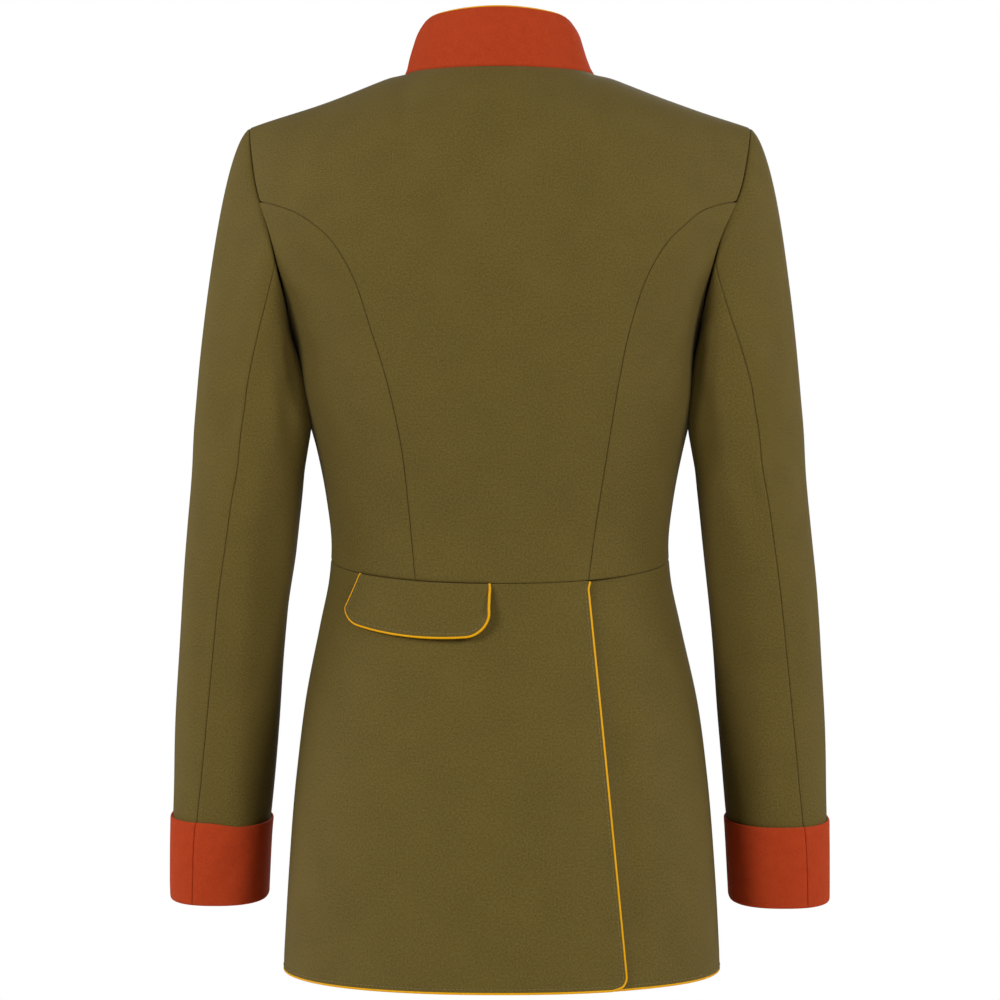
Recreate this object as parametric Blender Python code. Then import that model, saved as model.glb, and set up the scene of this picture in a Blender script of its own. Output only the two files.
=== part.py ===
"""Frock coat: stand collar, princess-seamed bodice, two-piece sleeves with turned-up cuffs,
and a skirt with a lapped vent, a pocket flap and a piped hem.

The coat is hollow and holds the form of its cut on a general figure. The wearer faces +Y,
+X is the wearer's right and +Z is up. The origin is the middle of the neck opening, level
with the neck points, where the shoulder seams meet the collar. All sizes are millimetres,
and MM turns them into Blender's metres when a mesh is made.
"""

import math
from collections import namedtuple

import bmesh
import bpy
from mathutils import Vector

MM = 0.001

# Cloth thicknesses and the small gaps between pieces.
SHELL_CLOTH = 1.6
COLLAR_CLOTH = 2.8
CUFF_CLOTH = 1.6
FLAP_CLOTH = 2.2
SEAM_GAP = 0.34
LAP_GAP = 1.2
PIPING_RADIUS = 1.1

# Neck and shoulder.
NECK_HALF_WIDTH = 75.0
BACK_NECK_DROP = 2.0
NECK_SINK = 1.8
NECK_SINK_WIDTH = 9.0
FRONT_NECK_DROP = 75.0
SHOULDER_HALF_WIDTH = 200.0
SHOULDER_SLOPE = 0.362
SHOULDER_CREST = 30.0
SHOULDER_SAG = 2.0
SHOULDER_ROUND_HEIGHT = 110.0
SHOULDER_ROUND_POWER = 2.2

# Armhole: its foot, how far its front edge is scooped, and its sample count.
ARMHOLE_FOOT_Z = -215.0
ARMHOLE_FRONT_SCOOP = 5.0
ARMHOLE_STEPS = 24
PRINCESS_STEP = 5
SLEEVE_BACK_SEAM_STEP = 7
SLEEVE_FRONT_SEAM_STEP = 8

# The back's princess seams: where they meet the waist, and how far both lean to one side.
PRINCESS_FOOT_X = 67.4
PRINCESS_SWAY = 3.7

# Waist seam, hem, and the lapped edges.
WAIST_SIDE_Z = -388.0
WAIST_BACK_DIP = 17.5
WAIST_FRONT_DIP = 8.0
HEM_Z = -711.7
FRONT_LAP = 18.0
VENT_SLANT = 0.0947
VENT_INSET = 2.2
VENT_CORNER = 9.0
VENT_UNDERLAP = 34.0

# Collar stand.
COLLAR_BACK_HEIGHT = 48.0
COLLAR_SIDE_HEIGHT = 43.8
COLLAR_FRONT_HEIGHT = 40.0
COLLAR_FRONT_FULLNESS = 12.0
COLLAR_SIDE_LEAN = 17.0
COLLAR_BACK_LEAN = 14.0
COLLAR_FRONT_LEAN = 4.0
COLLAR_FOOT_GAP = 0.4
COLLAR_TOP_ROLL = 3.6
COLLAR_CORD_TRIM = 0.8

# Cuffs.
CUFF_TOP_Z = -597.0
CUFF_FOOT_Z = -661.0
CUFF_GAP = 0.5
SLEEVE_END_Z = -659.0
SLEEVE_TILT = 5.0
SLEEVE_HUG = 0.35
SLEEVE_SQUARE = 0.2

# Front bust fullness from the cut.
CUP_HEIGHT = 8.0
CUP_X = 82.0
CUP_Z = -236.0
CUP_SPREAD = 50.0

# Buttons.
BUTTON_COUNT = 6
BUTTON_TOP_Z = -102.0
BUTTON_FOOT_Z = -378.0
BUTTON_RADIUS = 10.0
BUTTON_DOME = 4.2
BUTTON_RIM = 1.4
SHANK_RADIUS = 3.0
SHANK_HEIGHT = 2.4
BUTTON_SIDES = 20
BUTTON_GAP = 0.8

# Grid counts shared by the pieces that meet along a seam.
SHOULDER_COLUMNS = 6
BACK_NECK_COLUMNS = 4
FRONT_NECK_COLUMNS = 5
PRINCESS_ROWS = 12
SIDE_BACK_COLUMNS = ARMHOLE_STEPS // 2 - PRINCESS_STEP
SKIRT_ROWS = 11
CAP_ROWS = 6
ARM_ROWS = 12
CUFF_ROWS = 2
COLLAR_ROWS = 3

# The worn form by height: half the width, the depth behind and before the side seam, and
# how full the section is (2 is an ellipse, more is squarer).
TorsoRow = namedtuple("TorsoRow", "z half_width back front fullness")
TORSO = [
    TorsoRow(z=30, half_width=212, back=98, front=8, fullness=2.4),
    TorsoRow(z=-4, half_width=212, back=101, front=16, fullness=2.4),
    TorsoRow(z=-44, half_width=212, back=107, front=41, fullness=2.4),
    TorsoRow(z=-75, half_width=209.5, back=111, front=61, fullness=2.4),
    TorsoRow(z=-110, half_width=205.5, back=115, front=84, fullness=2.4),
    TorsoRow(z=-156, half_width=195, back=118, front=108, fullness=2.4),
    TorsoRow(z=-185, half_width=177, back=118, front=118, fullness=2.4),
    TorsoRow(z=-215, half_width=165.5, back=116, front=125, fullness=2.35),
    TorsoRow(z=-257, half_width=158.5, back=111, front=127, fullness=2.3),
    TorsoRow(z=-300, half_width=146.5, back=102, front=120, fullness=2.25),
    TorsoRow(z=-340, half_width=138.6, back=93, front=110, fullness=2.2),
    TorsoRow(z=-378, half_width=134.6, back=87, front=103, fullness=2.2),
    TorsoRow(z=-402, half_width=136.2, back=87, front=101, fullness=2.2),
    TorsoRow(z=-440, half_width=143.8, back=94, front=104, fullness=2.2),
    TorsoRow(z=-500, half_width=156.3, back=109, front=111, fullness=2.2),
    TorsoRow(z=-560, half_width=163.8, back=122, front=117, fullness=2.2),
    TorsoRow(z=-640, half_width=170.3, back=135, front=123, fullness=2.2),
    TorsoRow(z=-715, half_width=174, back=146, front=128, fullness=2.2),
    TorsoRow(z=-740, half_width=175, back=149, front=129, fullness=2.2),
]

# Back edge of the armhole, from the shoulder tip to the underarm.
ArmholeRow = namedtuple("ArmholeRow", "z x")
ARMHOLE = [
    ArmholeRow(z=-30, x=201.5),
    ArmholeRow(z=-43, x=200),
    ArmholeRow(z=-70, x=196.2),
    ArmholeRow(z=-100, x=190.5),
    ArmholeRow(z=-128, x=180.7),
    ArmholeRow(z=-156, x=173.3),
    ArmholeRow(z=-185, x=167.3),
    ArmholeRow(z=-215, x=165.5),
]

# How the worn coat sits off centre: the skirt's sides, a sleeve's edge, and the collar.
SKIRT_SHIFT = 1.4
ARM_TUCK = 2.1
LEFT_CUFF_LIFT = 3.4
LEFT_CUFF_RISE = 0.8
RIGHT_CUFF_DROP = 1.4
COLLAR_SHIFT = 1.6

# How much nearer the middle the right armhole and the sleeve's inner edge lie than the left.
ArmShiftRow = namedtuple("ArmShiftRow", "z shift")
ARM_SHIFT = [
    ArmShiftRow(z=0, shift=0),
    ArmShiftRow(z=-46, shift=1.6),
    ArmShiftRow(z=-75, shift=3.8),
    ArmShiftRow(z=-104, shift=5.2),
    ArmShiftRow(z=-142, shift=7.2),
    ArmShiftRow(z=-181, shift=7.8),
    ArmShiftRow(z=-238, shift=8),
    ArmShiftRow(z=-257, shift=6.5),
    ArmShiftRow(z=-277, shift=3.2),
    ArmShiftRow(z=-300, shift=1),
    ArmShiftRow(z=-335, shift=0),
    ArmShiftRow(z=-400, shift=0),
]

# Princess seam of the back, from the waist up; its last stretch runs on to the armhole.
SeamPoint = namedtuple("SeamPoint", "x z")
PRINCESS = [
    SeamPoint(x=72.7, z=-356),
    SeamPoint(x=79.8, z=-302),
    SeamPoint(x=88.8, z=-253),
    SeamPoint(x=99.5, z=-211),
    SeamPoint(x=112.5, z=-171.5),
    SeamPoint(x=130, z=-141.5),
    SeamPoint(x=152.5, z=-122),
    SeamPoint(x=171, z=-113),
]

# Sleeve sections below the cap: inner and outer side, back and front, and where the back
# seam lies, in degrees round from the outer side by way of the front.
SleeveRow = namedtuple("SleeveRow", "z inner outer back front seam")
SLEEVE = [
    SleeveRow(z=-257, inner=161.2, outer=242, back=-62, front=58, seam=278),
    SleeveRow(z=-285, inner=153.9, outer=244.4, back=-60, front=56, seam=282),
    SleeveRow(z=-321, inner=156.2, outer=246.2, back=-58, front=54, seam=278.5),
    SleeveRow(z=-361, inner=160.4, outer=249.3, back=-56, front=53, seam=280.5),
    SleeveRow(z=-401, inner=165, outer=252.6, back=-52, front=54.5, seam=283),
    SleeveRow(z=-461, inner=170.9, outer=257.3, back=-42, front=59, seam=286),
    SleeveRow(z=-521, inner=175.6, outer=261.2, back=-31, front=66, seam=290),
    SleeveRow(z=-583, inner=181.5, outer=263.6, back=-21, front=74, seam=293.6),
    SleeveRow(z=-598, inner=183.2, outer=264, back=-19.5, front=75.5, seam=293.1),
    SleeveRow(z=-661, inner=187.3, outer=264.5, back=-13, front=80, seam=293.9),
]
FRONT_SEAM_ANGLE = 115.0

# Pocket flap: its corners below the waist seam, as seen from behind.
FLAP_LEFT_TOP_X = -107.0
FLAP_LEFT_FOOT_X = -118.0
FLAP_RIGHT_X = -9.5
FLAP_LEFT_DEPTH = 37.5
FLAP_MIDDLE_DEPTH = 41.7
FLAP_RIGHT_DEPTH = 38.7
FLAP_LEFT_CORNER = 8.5
FLAP_RIGHT_CORNER = 17.0
FLAP_CLEARANCE = 0.5
FLAP_LIFT_LEFT = 0.8
FLAP_LIFT_RIGHT = 4.5
FLAP_COLUMNS = 14
FLAP_ROWS = 5


# ---------------------------------------------------------------- curves and tables


def smooth_column(rows, key, value):
    """A smooth function through one column of a table, read at any key."""
    points = sorted((getattr(r, key), getattr(r, value)) for r in rows)
    keys = [p[0] for p in points]
    values = [p[1] for p in points]
    slopes = [(values[i + 1] - values[i]) / (keys[i + 1] - keys[i]) for i in range(len(keys) - 1)]
    tangents = [slopes[0]]
    for i in range(1, len(slopes)):
        before, after = keys[i] - keys[i - 1], keys[i + 1] - keys[i]
        tangents.append((slopes[i - 1] * after + slopes[i] * before) / (before + after))
    tangents.append(slopes[-1])

    def read(at):
        at = min(max(at, keys[0]), keys[-1])
        i = max(k for k in range(len(keys) - 1) if keys[k] <= at or k == 0)
        width = keys[i + 1] - keys[i]
        t = (at - keys[i]) / width
        rise = t * t * (3 - 2 * t)
        lean = width * (tangents[i] * t * (1 - t) ** 2 - tangents[i + 1] * t * t * (1 - t))
        return values[i] + (values[i + 1] - values[i]) * rise + lean

    return read


half_width = smooth_column(TORSO, "z", "half_width")
back_depth = smooth_column(TORSO, "z", "back")
front_depth = smooth_column(TORSO, "z", "front")
fullness = smooth_column(TORSO, "z", "fullness")
armhole_x = smooth_column(ARMHOLE, "z", "x")
arm_shift = smooth_column(ARM_SHIFT, "z", "shift")
sleeve_inner = smooth_column(SLEEVE, "z", "inner")
sleeve_outer = smooth_column(SLEEVE, "z", "outer")
sleeve_back = smooth_column(SLEEVE, "z", "back")
sleeve_front = smooth_column(SLEEVE, "z", "front")
sleeve_seam = smooth_column(SLEEVE, "z", "seam")


def through(points, count):
    """count + 1 points, evenly spaced along a smooth curve through the given points."""
    fine = []
    for i in range(len(points) - 1):
        a, b = points[i], points[i + 1]
        before = points[max(i - 1, 0)]
        after = points[min(i + 2, len(points) - 1)]
        for step in range(24):
            t = step / 24
            fine.append(
                a * (1 + t * t * (2 * t - 3))
                + b * (t * t * (3 - 2 * t))
                + (b - before) * (0.5 * t * (1 - t) ** 2)
                - (after - a) * (0.5 * t * t * (1 - t))
            )
    fine.append(points[-1])
    return spaced(fine, count)


def spaced(line, count):
    """count + 1 points, evenly spaced along a line of points."""
    run = [0.0]
    for a, b in zip(line, line[1:]):
        run.append(run[-1] + (b - a).length)
    found, k = [], 0
    for i in range(count + 1):
        goal = run[-1] * i / count
        while k < len(line) - 2 and run[k + 1] < goal:
            k += 1
        share = (goal - run[k]) / max(run[k + 1] - run[k], 1e-9)
        found.append(line[k].lerp(line[k + 1], min(share, 1.0)))
    return found


def signed_power(value, power):
    return math.copysign(abs(value) ** power, value)


def ease(value, low, high):
    """0 at low, 1 at high, smooth between."""
    t = min(max((value - low) / (high - low), 0.0), 1.0)
    return t * t * (3 - 2 * t)


# ---------------------------------------------------------------- the worn form


def shoulder_line(x):
    """Height of the shoulder seam's ridge, which sags a little between neck and tip."""
    crest = math.hypot(NECK_HALF_WIDTH, SHOULDER_CREST)
    share = (abs(x) - NECK_HALF_WIDTH) / (SHOULDER_HALF_WIDTH - NECK_HALF_WIDTH)
    sag = SHOULDER_SAG * math.sin(math.pi * min(max(share, 0.0), 1.0)) ** 2
    sag += NECK_SINK * math.exp(-(((abs(x) - NECK_HALF_WIDTH) / NECK_SINK_WIDTH) ** 2))
    return -SHOULDER_SLOPE * (math.hypot(x, SHOULDER_CREST) - crest) - sag


def shoulder_round(x, z):
    """Share of the full depth: 0 on the shoulder's ridge, 1 well below it."""
    drop = min(max((shoulder_line(x) - z) / SHOULDER_ROUND_HEIGHT, 0.0), 1.0)
    return (1 - (1 - drop) ** SHOULDER_ROUND_POWER) ** (1 / SHOULDER_ROUND_POWER)


def cup(x, z):
    """Fullness that the front's darts give."""
    wide = (abs(x) - CUP_X) / CUP_SPREAD
    high = (z - CUP_Z) / CUP_SPREAD
    return CUP_HEIGHT * math.exp(-0.5 * (wide * wide + high * high))


def torso_point(phi, z):
    """Point of the outer surface. phi is 0 at centre back, 90 at the side, 180 at centre front."""
    across, along = math.sin(phi), math.cos(phi)
    power = 2 / fullness(z)
    x = half_width(z) * signed_power(across, power)
    depth = back_depth(z) if along > 0 else front_depth(z)
    y = -depth * signed_power(along, power) * shoulder_round(x, z)
    if along < 0:
        y += cup(x, z) * min(1.0, -2 * along)
    return Vector((x, y, z))


def torso_normal(phi, z):
    """Outward direction of the surface. On the shoulder's ridge both sides share one."""
    here = torso_point(phi, z)
    if shoulder_line(here.x) - z < 0.6:
        return Vector((math.copysign(SHOULDER_SLOPE, here.x), 0, 1)).normalized()
    turn, rise = 0.01, 0.5
    round_it = torso_point(phi + turn, z) - torso_point(phi - turn, z)
    up_it = torso_point(phi, z + rise) - torso_point(phi, z - rise)
    return round_it.cross(up_it).normalized()


def phi_at(x, z, front=False):
    """The angle at which the surface has this x at this height."""
    share = min(abs(x) / half_width(z), 1.0) ** (fullness(z) / 2)
    phi = math.asin(share)
    return math.copysign(math.pi - phi if front else phi, x)


def waist_z(phi):
    """Height of the waist seam, which dips towards centre back and centre front."""
    dip = WAIST_BACK_DIP if math.cos(phi) > 0 else WAIST_FRONT_DIP
    return WAIST_SIDE_Z - dip * abs(math.cos(phi)) ** 1.1


def waist_at(x, front=False):
    """(phi, z) of the waist seam at this x."""
    z = WAIST_SIDE_Z
    for _ in range(4):
        phi = phi_at(x, z, front)
        z = waist_z(phi)
    return Vector((phi, z))


def armhole_at(step):
    """(phi, z) of the armhole's edge. Step 0 is the shoulder tip, and steps run down the front."""
    angle = 2 * math.pi * step / ARMHOLE_STEPS
    top = shoulder_line(SHOULDER_HALF_WIDTH)
    z = (top + ARMHOLE_FOOT_Z) / 2 + (top - ARMHOLE_FOOT_Z) / 2 * math.cos(angle)
    front = math.sin(angle) > 1e-9
    scoop = ARMHOLE_FRONT_SCOOP * math.sin(angle) ** 2 if front else 0.0
    if step % ARMHOLE_STEPS == 0:
        return shoulder_at(1, False)
    if step % ARMHOLE_STEPS == ARMHOLE_STEPS // 2:
        return Vector((math.pi / 2, z))
    return Vector((phi_at(armhole_x(z) - scoop, z, front), z))


def neck_at(share):
    """(phi, z) of the neckline. share is 0 at centre back, 1 at the neck point, 2 at centre front."""
    angle = share * math.pi / 2
    x = NECK_HALF_WIDTH * math.sin(angle)
    sink = NECK_SINK * math.sin(angle) ** 2
    if share <= 1:
        return Vector((phi_at(x, 0), -BACK_NECK_DROP * math.cos(angle) ** 2 - sink))
    z = -FRONT_NECK_DROP * math.cos(angle) ** 2 - sink
    return Vector((phi_at(x, z, True), z))


def shoulder_at(share, front):
    """(phi, z) of the shoulder seam, from the neck point (0) to the shoulder tip (1)."""
    x = NECK_HALF_WIDTH + share * (SHOULDER_HALF_WIDTH - NECK_HALF_WIDTH)
    z = shoulder_line(x)
    return Vector((phi_at(x, z, front), z))


def princess_sway(z):
    """How far both princess seams of the back lie towards the wearer's right."""
    return PRINCESS_SWAY * (ease(z, -195, -290) - 0.6 * ease(z, -310, -400))


def princess_foot(side):
    """x of a princess seam where it meets the waist. side is 1 on the right, -1 on the left."""
    return side * PRINCESS_FOOT_X + princess_sway(WAIST_SIDE_Z - WAIST_BACK_DIP)


def vent_x(z):
    """Edge of the back skirt's upper lap, rounded off at the hem."""
    below = waist_at(princess_foot(1)).y - z
    straight = princess_foot(1) + VENT_SLANT * below - VENT_INSET * ease(below, 0, 6)
    low = max(0.0, VENT_CORNER - (z - HEM_Z)) / VENT_CORNER
    return straight - VENT_CORNER * (1 - math.sqrt(max(0.0, 1 - low * low)))


# ---------------------------------------------------------------- walls


def coons(bottom, top, left, right):
    """Rows of points between four edges, each given as a list of points, left to right and up."""
    across, up = len(bottom) - 1, len(left) - 1
    rows = []
    for j in range(up + 1):
        v = j / up
        row = []
        for i in range(across + 1):
            u = i / across
            ruled = bottom[i] * (1 - v) + top[i] * v + left[j] * (1 - u) + right[j] * u
            corners = (bottom[0] * (1 - u) + bottom[-1] * u) * (1 - v)
            corners = corners + (top[0] * (1 - u) + top[-1] * u) * v
            row.append(ruled - corners)
        rows.append(row)
    return rows


def on_torso(plan, sink=None):
    """Surface points for rows of (phi, z), and the way into the cloth at each. sink lowers a lap."""
    outer, inward = [], []
    for row in plan:
        normals = [torso_normal(*p) for p in row]
        points = [torso_point(*p) for p in row]
        if sink:
            points = [p - n * sink(p) for p, n in zip(points, normals)]
        outer.append(points)
        inward.append([-n * SHELL_CLOTH for n in normals])
    return outer, inward


def into_sheet(edge, inner):
    """Directions square to an edge and into its sheet. inner holds the next point in at each."""
    ways = []
    for k, (point, within) in enumerate(zip(edge, inner)):
        along = (edge[min(k + 1, len(edge) - 1)] - edge[max(k - 1, 0)]).normalized()
        way = within - point
        ways.append((way - along * way.dot(along)).normalized())
    return ways


def set_back(rows, amount=SEAM_GAP / 2):
    """Draws each edge of a grid back a little, square to the edge, for the gap at a seam."""
    moved = [[p.copy() for p in row] for row in rows]
    columns = [list(column) for column in zip(*rows)]
    for edge, inner in ((0, 1), (-1, -2)):
        for k, way in enumerate(into_sheet(rows[edge], rows[inner])):
            moved[edge][k] += way * amount
        for k, way in enumerate(into_sheet(columns[edge], columns[inner])):
            moved[k][edge] += way * amount
    return moved


def mitre(one, other, thickness):
    """The way into the cloth where two sheets meet at an angle, the same for both."""
    both = one + other
    reach = thickness / max(both.length / 2, 0.62)
    return -both.normalized() * reach


def worn(point):
    """Where a point lies as the coat is worn, for its two sides don't hang quite alike."""
    x, z = point.x, point.z
    past_skirt = ease(abs(x) - 150 + 0.115 * (z + 400), 0, 6)
    armhole = ease(x, 138, 172) * (1 - ease(x, 174, 204)) * arm_shift(z)
    upper_arm = ease(x, 212, 240) * ease(z, -60, -170) * (1 - ease(z, -300, -420))
    forearm = ease(-x, 0, 1) * past_skirt * (1 - ease(-x, 195, 235)) * ease(z, -380, -430)
    cuff_top = ease(-x, 200, 234) * ease(z, -560, -592) * (1 - ease(z, -602, -650))
    cuff_foot = past_skirt * ease(z, -602, -655) * (LEFT_CUFF_RISE if x < 0 else -RIGHT_CUFF_DROP)
    skirt = ease(abs(x), 122, 160) * (1 - past_skirt) * ease(z, -400, -540)
    moved = SKIRT_SHIFT * skirt - armhole - ARM_TUCK * upper_arm - ARM_TUCK * forearm
    x += moved - COLLAR_SHIFT * ease(z, -8, 16)
    return Vector((x, point.y, z + LEFT_CUFF_LIFT * cuff_top + cuff_foot))


def wall(name, outer, inward, material):
    """A closed cloth wall over a grid of outer points. inward goes from each to the inner face."""
    outer = set_back(outer)
    across, up = len(outer[0]) - 1, len(outer) - 1
    bm = bmesh.new()
    bmesh.ops.create_grid(bm, x_segments=across, y_segments=up, size=1)
    row_of = bm.verts.layers.int.new("row")
    column_of = bm.verts.layers.int.new("column")
    for vert in bm.verts:
        vert[row_of] = round((vert.co.y + 1) / 2 * up)
        vert[column_of] = round((vert.co.x + 1) / 2 * across)
        vert.co = worn(outer[vert[row_of]][vert[column_of]]) * MM
    bmesh.ops.triangulate(bm, faces=bm.faces[:], quad_method="SHORT_EDGE")
    made = bmesh.ops.extrude_face_region(bm, geom=bm.faces[:], use_keep_orig=True)
    for vert in (v for v in made["geom"] if isinstance(v, bmesh.types.BMVert)):
        j, i = vert[row_of], vert[column_of]
        vert.co = worn(outer[j][i] + inward[j][i]) * MM
    bmesh.ops.recalc_face_normals(bm, faces=bm.faces[:])
    return finished(name, bm, material)


def finished(name, bm, material):
    mesh = bpy.data.meshes.new(name)
    bm.to_mesh(mesh)
    bm.free()
    mesh.shade_smooth()
    mesh.set_sharp_from_angle(angle=math.radians(40))
    mesh.materials.append(material)
    made = bpy.data.objects.new(name, mesh)
    bpy.context.scene.collection.objects.link(made)
    return made


def piping(name, line, material):
    """A covered cord sewn along an edge: a round tube with closed ends."""
    data = bpy.data.curves.new(name, "CURVE")
    data.dimensions = "3D"
    data.bevel_depth = PIPING_RADIUS * MM
    data.bevel_resolution = 1
    data.use_fill_caps = True
    spline = data.splines.new("POLY")
    spline.points.add(len(line) - 1)
    for point, place in zip(spline.points, line):
        point.co = (*(worn(place) * MM), 1)
    data.materials.append(material)
    made = bpy.data.objects.new(name, data)
    bpy.context.scene.collection.objects.link(made)
    return made


def cloth(name, colour, roughness):
    """A woven finish: colour is linear red, green and blue."""
    material = bpy.data.materials.new(name)
    material.use_nodes = True
    shader = material.node_tree.nodes["Principled BSDF"]
    shader.inputs["Base Color"].default_value = (*colour, 1)
    shader.inputs["Roughness"].default_value = roughness
    material.diffuse_color = (*colour, 1)
    return material


def metal(name, colour, roughness):
    material = cloth(name, colour, roughness)
    material.node_tree.nodes["Principled BSDF"].inputs["Metallic"].default_value = 1
    return material


# ---------------------------------------------------------------- sleeve


def sleeve_ring(z, angle):
    """Point of the sleeve below its cap. angle is 0 on the outer side and 90 at the front."""
    width, depth = sleeve_outer(z) - sleeve_inner(z), sleeve_front(z) - sleeve_back(z)
    power = 1 - SLEEVE_SQUARE * ease(z, -560, -625)
    across, along = math.cos(math.radians(angle)), math.sin(math.radians(angle))
    across, along = (math.copysign(abs(share) ** power, share) for share in (across, along))
    x = (sleeve_outer(z) + sleeve_inner(z)) / 2 + width / 2 * across
    off_centre = depth / 2 * along
    y = (sleeve_back(z) + sleeve_front(z)) / 2 + off_centre
    inner = (1 - math.cos(math.radians(angle))) / 2
    x += SLEEVE_HUG * off_centre * inner * ease(z, -345, -262)
    tilt = math.radians(SLEEVE_TILT) * ease(z, -400, -520)
    return Vector((x, y, z + off_centre * math.tan(tilt)))


def sleeve_angle(step, z):
    """Angle of an armhole step's thread line in the ring at this height."""
    back, front = SLEEVE_BACK_SEAM_STEP, SLEEVE_FRONT_SEAM_STEP
    from_back = (step + back) % ARMHOLE_STEPS
    top_steps = back + front
    seam = sleeve_seam(z) - 360
    if from_back <= top_steps:
        return seam + (FRONT_SEAM_ANGLE - seam) * from_back / top_steps
    share = (from_back - top_steps) / (ARMHOLE_STEPS - top_steps)
    return FRONT_SEAM_ANGLE + (seam + 360 - FRONT_SEAM_ANGLE) * share


def cap_point(step, share):
    """Point of the sleeve's cap: a curve from the armhole's edge (0) down to the first ring (1)."""
    start = torso_point(*armhole_at(step))
    end = sleeve_ring(SLEEVE[0].z, sleeve_angle(step, SLEEVE[0].z))
    angle = 2 * math.pi * step / ARMHOLE_STEPS
    up, ahead = math.cos(angle), math.sin(angle)
    side = ahead**4
    behind = side if ahead < 0 else 0.0
    tucked = 10 * max(0.0, -ahead) * max(0.0, -up)
    leave = start + Vector((12 + 6 * up - 7 * side, 4 * ahead, -7.5 - 4.5 * up - 9 * side))
    leave.x -= behind + tucked
    arrive = end + Vector((-2.5 - 4.5 * up - 6 * behind, 0, 53 + 37 * up))
    t, rest = share, 1 - share
    return start * rest**3 + leave * (3 * rest**2 * t) + arrive * (3 * rest * t**2) + end * t**3


def sleeve_tube():
    """All round the right sleeve, from armhole to wrist: rows of points and of outward directions."""
    rows = []
    for k in range(CAP_ROWS):
        share = (k / CAP_ROWS) ** 1.3
        rows.append([cap_point(step, share) for step in range(ARMHOLE_STEPS)])
    for k in range(ARM_ROWS + 1):
        z = SLEEVE[0].z + (SLEEVE_END_Z - SLEEVE[0].z) * k / ARM_ROWS
        rows.append([sleeve_ring(z, sleeve_angle(s, z)) for s in range(ARMHOLE_STEPS)])
    normals = []
    for j in range(len(rows)):
        above, below = rows[max(j - 1, 0)], rows[min(j + 1, len(rows) - 1)]
        row = []
        for i in range(ARMHOLE_STEPS):
            ahead = rows[j][(i + 1) % ARMHOLE_STEPS] - rows[j][i - 1]
            row.append(ahead.cross(above[i] - below[i]).normalized())
        normals.append(row)
    return rows, normals


def armhole_rims(normals):
    """The way into the cloth along the armhole, shared by bodice and sleeve."""
    rims = []
    for step in range(ARMHOLE_STEPS):
        rims.append(mitre(torso_normal(*armhole_at(step)), normals[0][step], SHELL_CLOTH))
    return rims


# ---------------------------------------------------------------- collar


def neck_shares():
    """Neckline samples from centre back to centre front, at the bodice's own columns."""
    back = [k / BACK_NECK_COLUMNS for k in range(BACK_NECK_COLUMNS)]
    return back + [1 + k / FRONT_NECK_COLUMNS for k in range(FRONT_NECK_COLUMNS + 1)]


def collar_rows(side):
    """Half of the collar stand: rows of points from the neck seam up, from back to front."""
    base = [torso_point(*neck_at(share)) for share in neck_shares()]
    rows = []
    for j in range(COLLAR_ROWS + 1):
        row = []
        for share, foot in zip(neck_shares(), base):
            angle = share * math.pi / 2
            outward = Vector((math.sin(angle), -math.cos(angle), 0))
            lean = COLLAR_SIDE_LEAN * math.sin(angle) ** 2
            lean += (COLLAR_BACK_LEAN if share < 1 else COLLAR_FRONT_LEAN) * math.cos(angle) ** 2
            end_height = COLLAR_BACK_HEIGHT if share < 1 else COLLAR_FRONT_HEIGHT
            height = COLLAR_SIDE_HEIGHT + (end_height - COLLAR_SIDE_HEIGHT) * abs(math.cos(angle)) ** 1.5
            height += COLLAR_FRONT_FULLNESS * (math.sin(2 * angle) ** 2 if share > 1 else 0)
            run = COLLAR_FOOT_GAP + height * j / COLLAR_ROWS
            roll = COLLAR_TOP_ROLL * math.sin(angle) ** 2 if j == COLLAR_ROWS else 0
            lean = math.radians(lean)
            inward = run * math.sin(lean) + roll
            point = foot - outward * inward + Vector((0, 0, run * math.cos(lean)))
            row.append(Vector((point.x * side, point.y, point.z)))
        rows.append(row)
    return rows


def collar_grid():
    """The whole collar from the wearer's left front round the back to the right front."""
    left, right = collar_rows(-1), collar_rows(1)
    rows = [ahead[::-1] + behind[1:] for ahead, behind in zip(left, right)]
    for row in rows:
        row[0].x -= SEAM_GAP / 2
        row[-1].x += SEAM_GAP / 2
    normals = []
    for j in range(len(rows)):
        above, below = rows[min(j + 1, len(rows) - 1)], rows[max(j - 1, 0)]
        row = []
        for i in range(len(rows[j])):
            ahead = rows[j][min(i + 1, len(rows[j]) - 1)] - rows[j][max(i - 1, 0)]
            row.append(ahead.cross(above[i] - below[i]).normalized())
        normals.append(row)
    return rows, normals


def neck_rims(normals, thickness):
    """The way into the cloth along the neck seam, from centre back to the right front edge."""
    middle = len(normals[0]) // 2
    rims = []
    for k, share in enumerate(neck_shares()):
        rims.append(mitre(torso_normal(*neck_at(share)), normals[0][middle + k], thickness))
    return rims


# ---------------------------------------------------------------- pieces


def mirrored(rows):
    """The same rows for the other side of the body."""
    return [[Vector((-p.x, p.y, p.z)) for p in row] for row in rows]


def princess_line(side):
    """(phi, z) samples of a princess seam, waist to armhole, as if it lay on the right."""
    foot = torso_point(*waist_at(abs(princess_foot(side))))
    top = torso_point(*armhole_at(-PRINCESS_STEP))
    inner = [Vector((p.x + side * princess_sway(p.z), p.z)) for p in PRINCESS]
    points = [Vector((foot.x, foot.z))] + inner + [Vector((top.x, top.z))]
    return [Vector((phi_at(p.x, p.y), p.y)) for p in through(points, PRINCESS_ROWS)]


def side_seam(top_z, foot_z, rows):
    """(phi, z) samples up the side of the body."""
    return [Vector((math.pi / 2, foot_z + (top_z - foot_z) * k / rows)) for k in range(rows + 1)]


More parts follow.
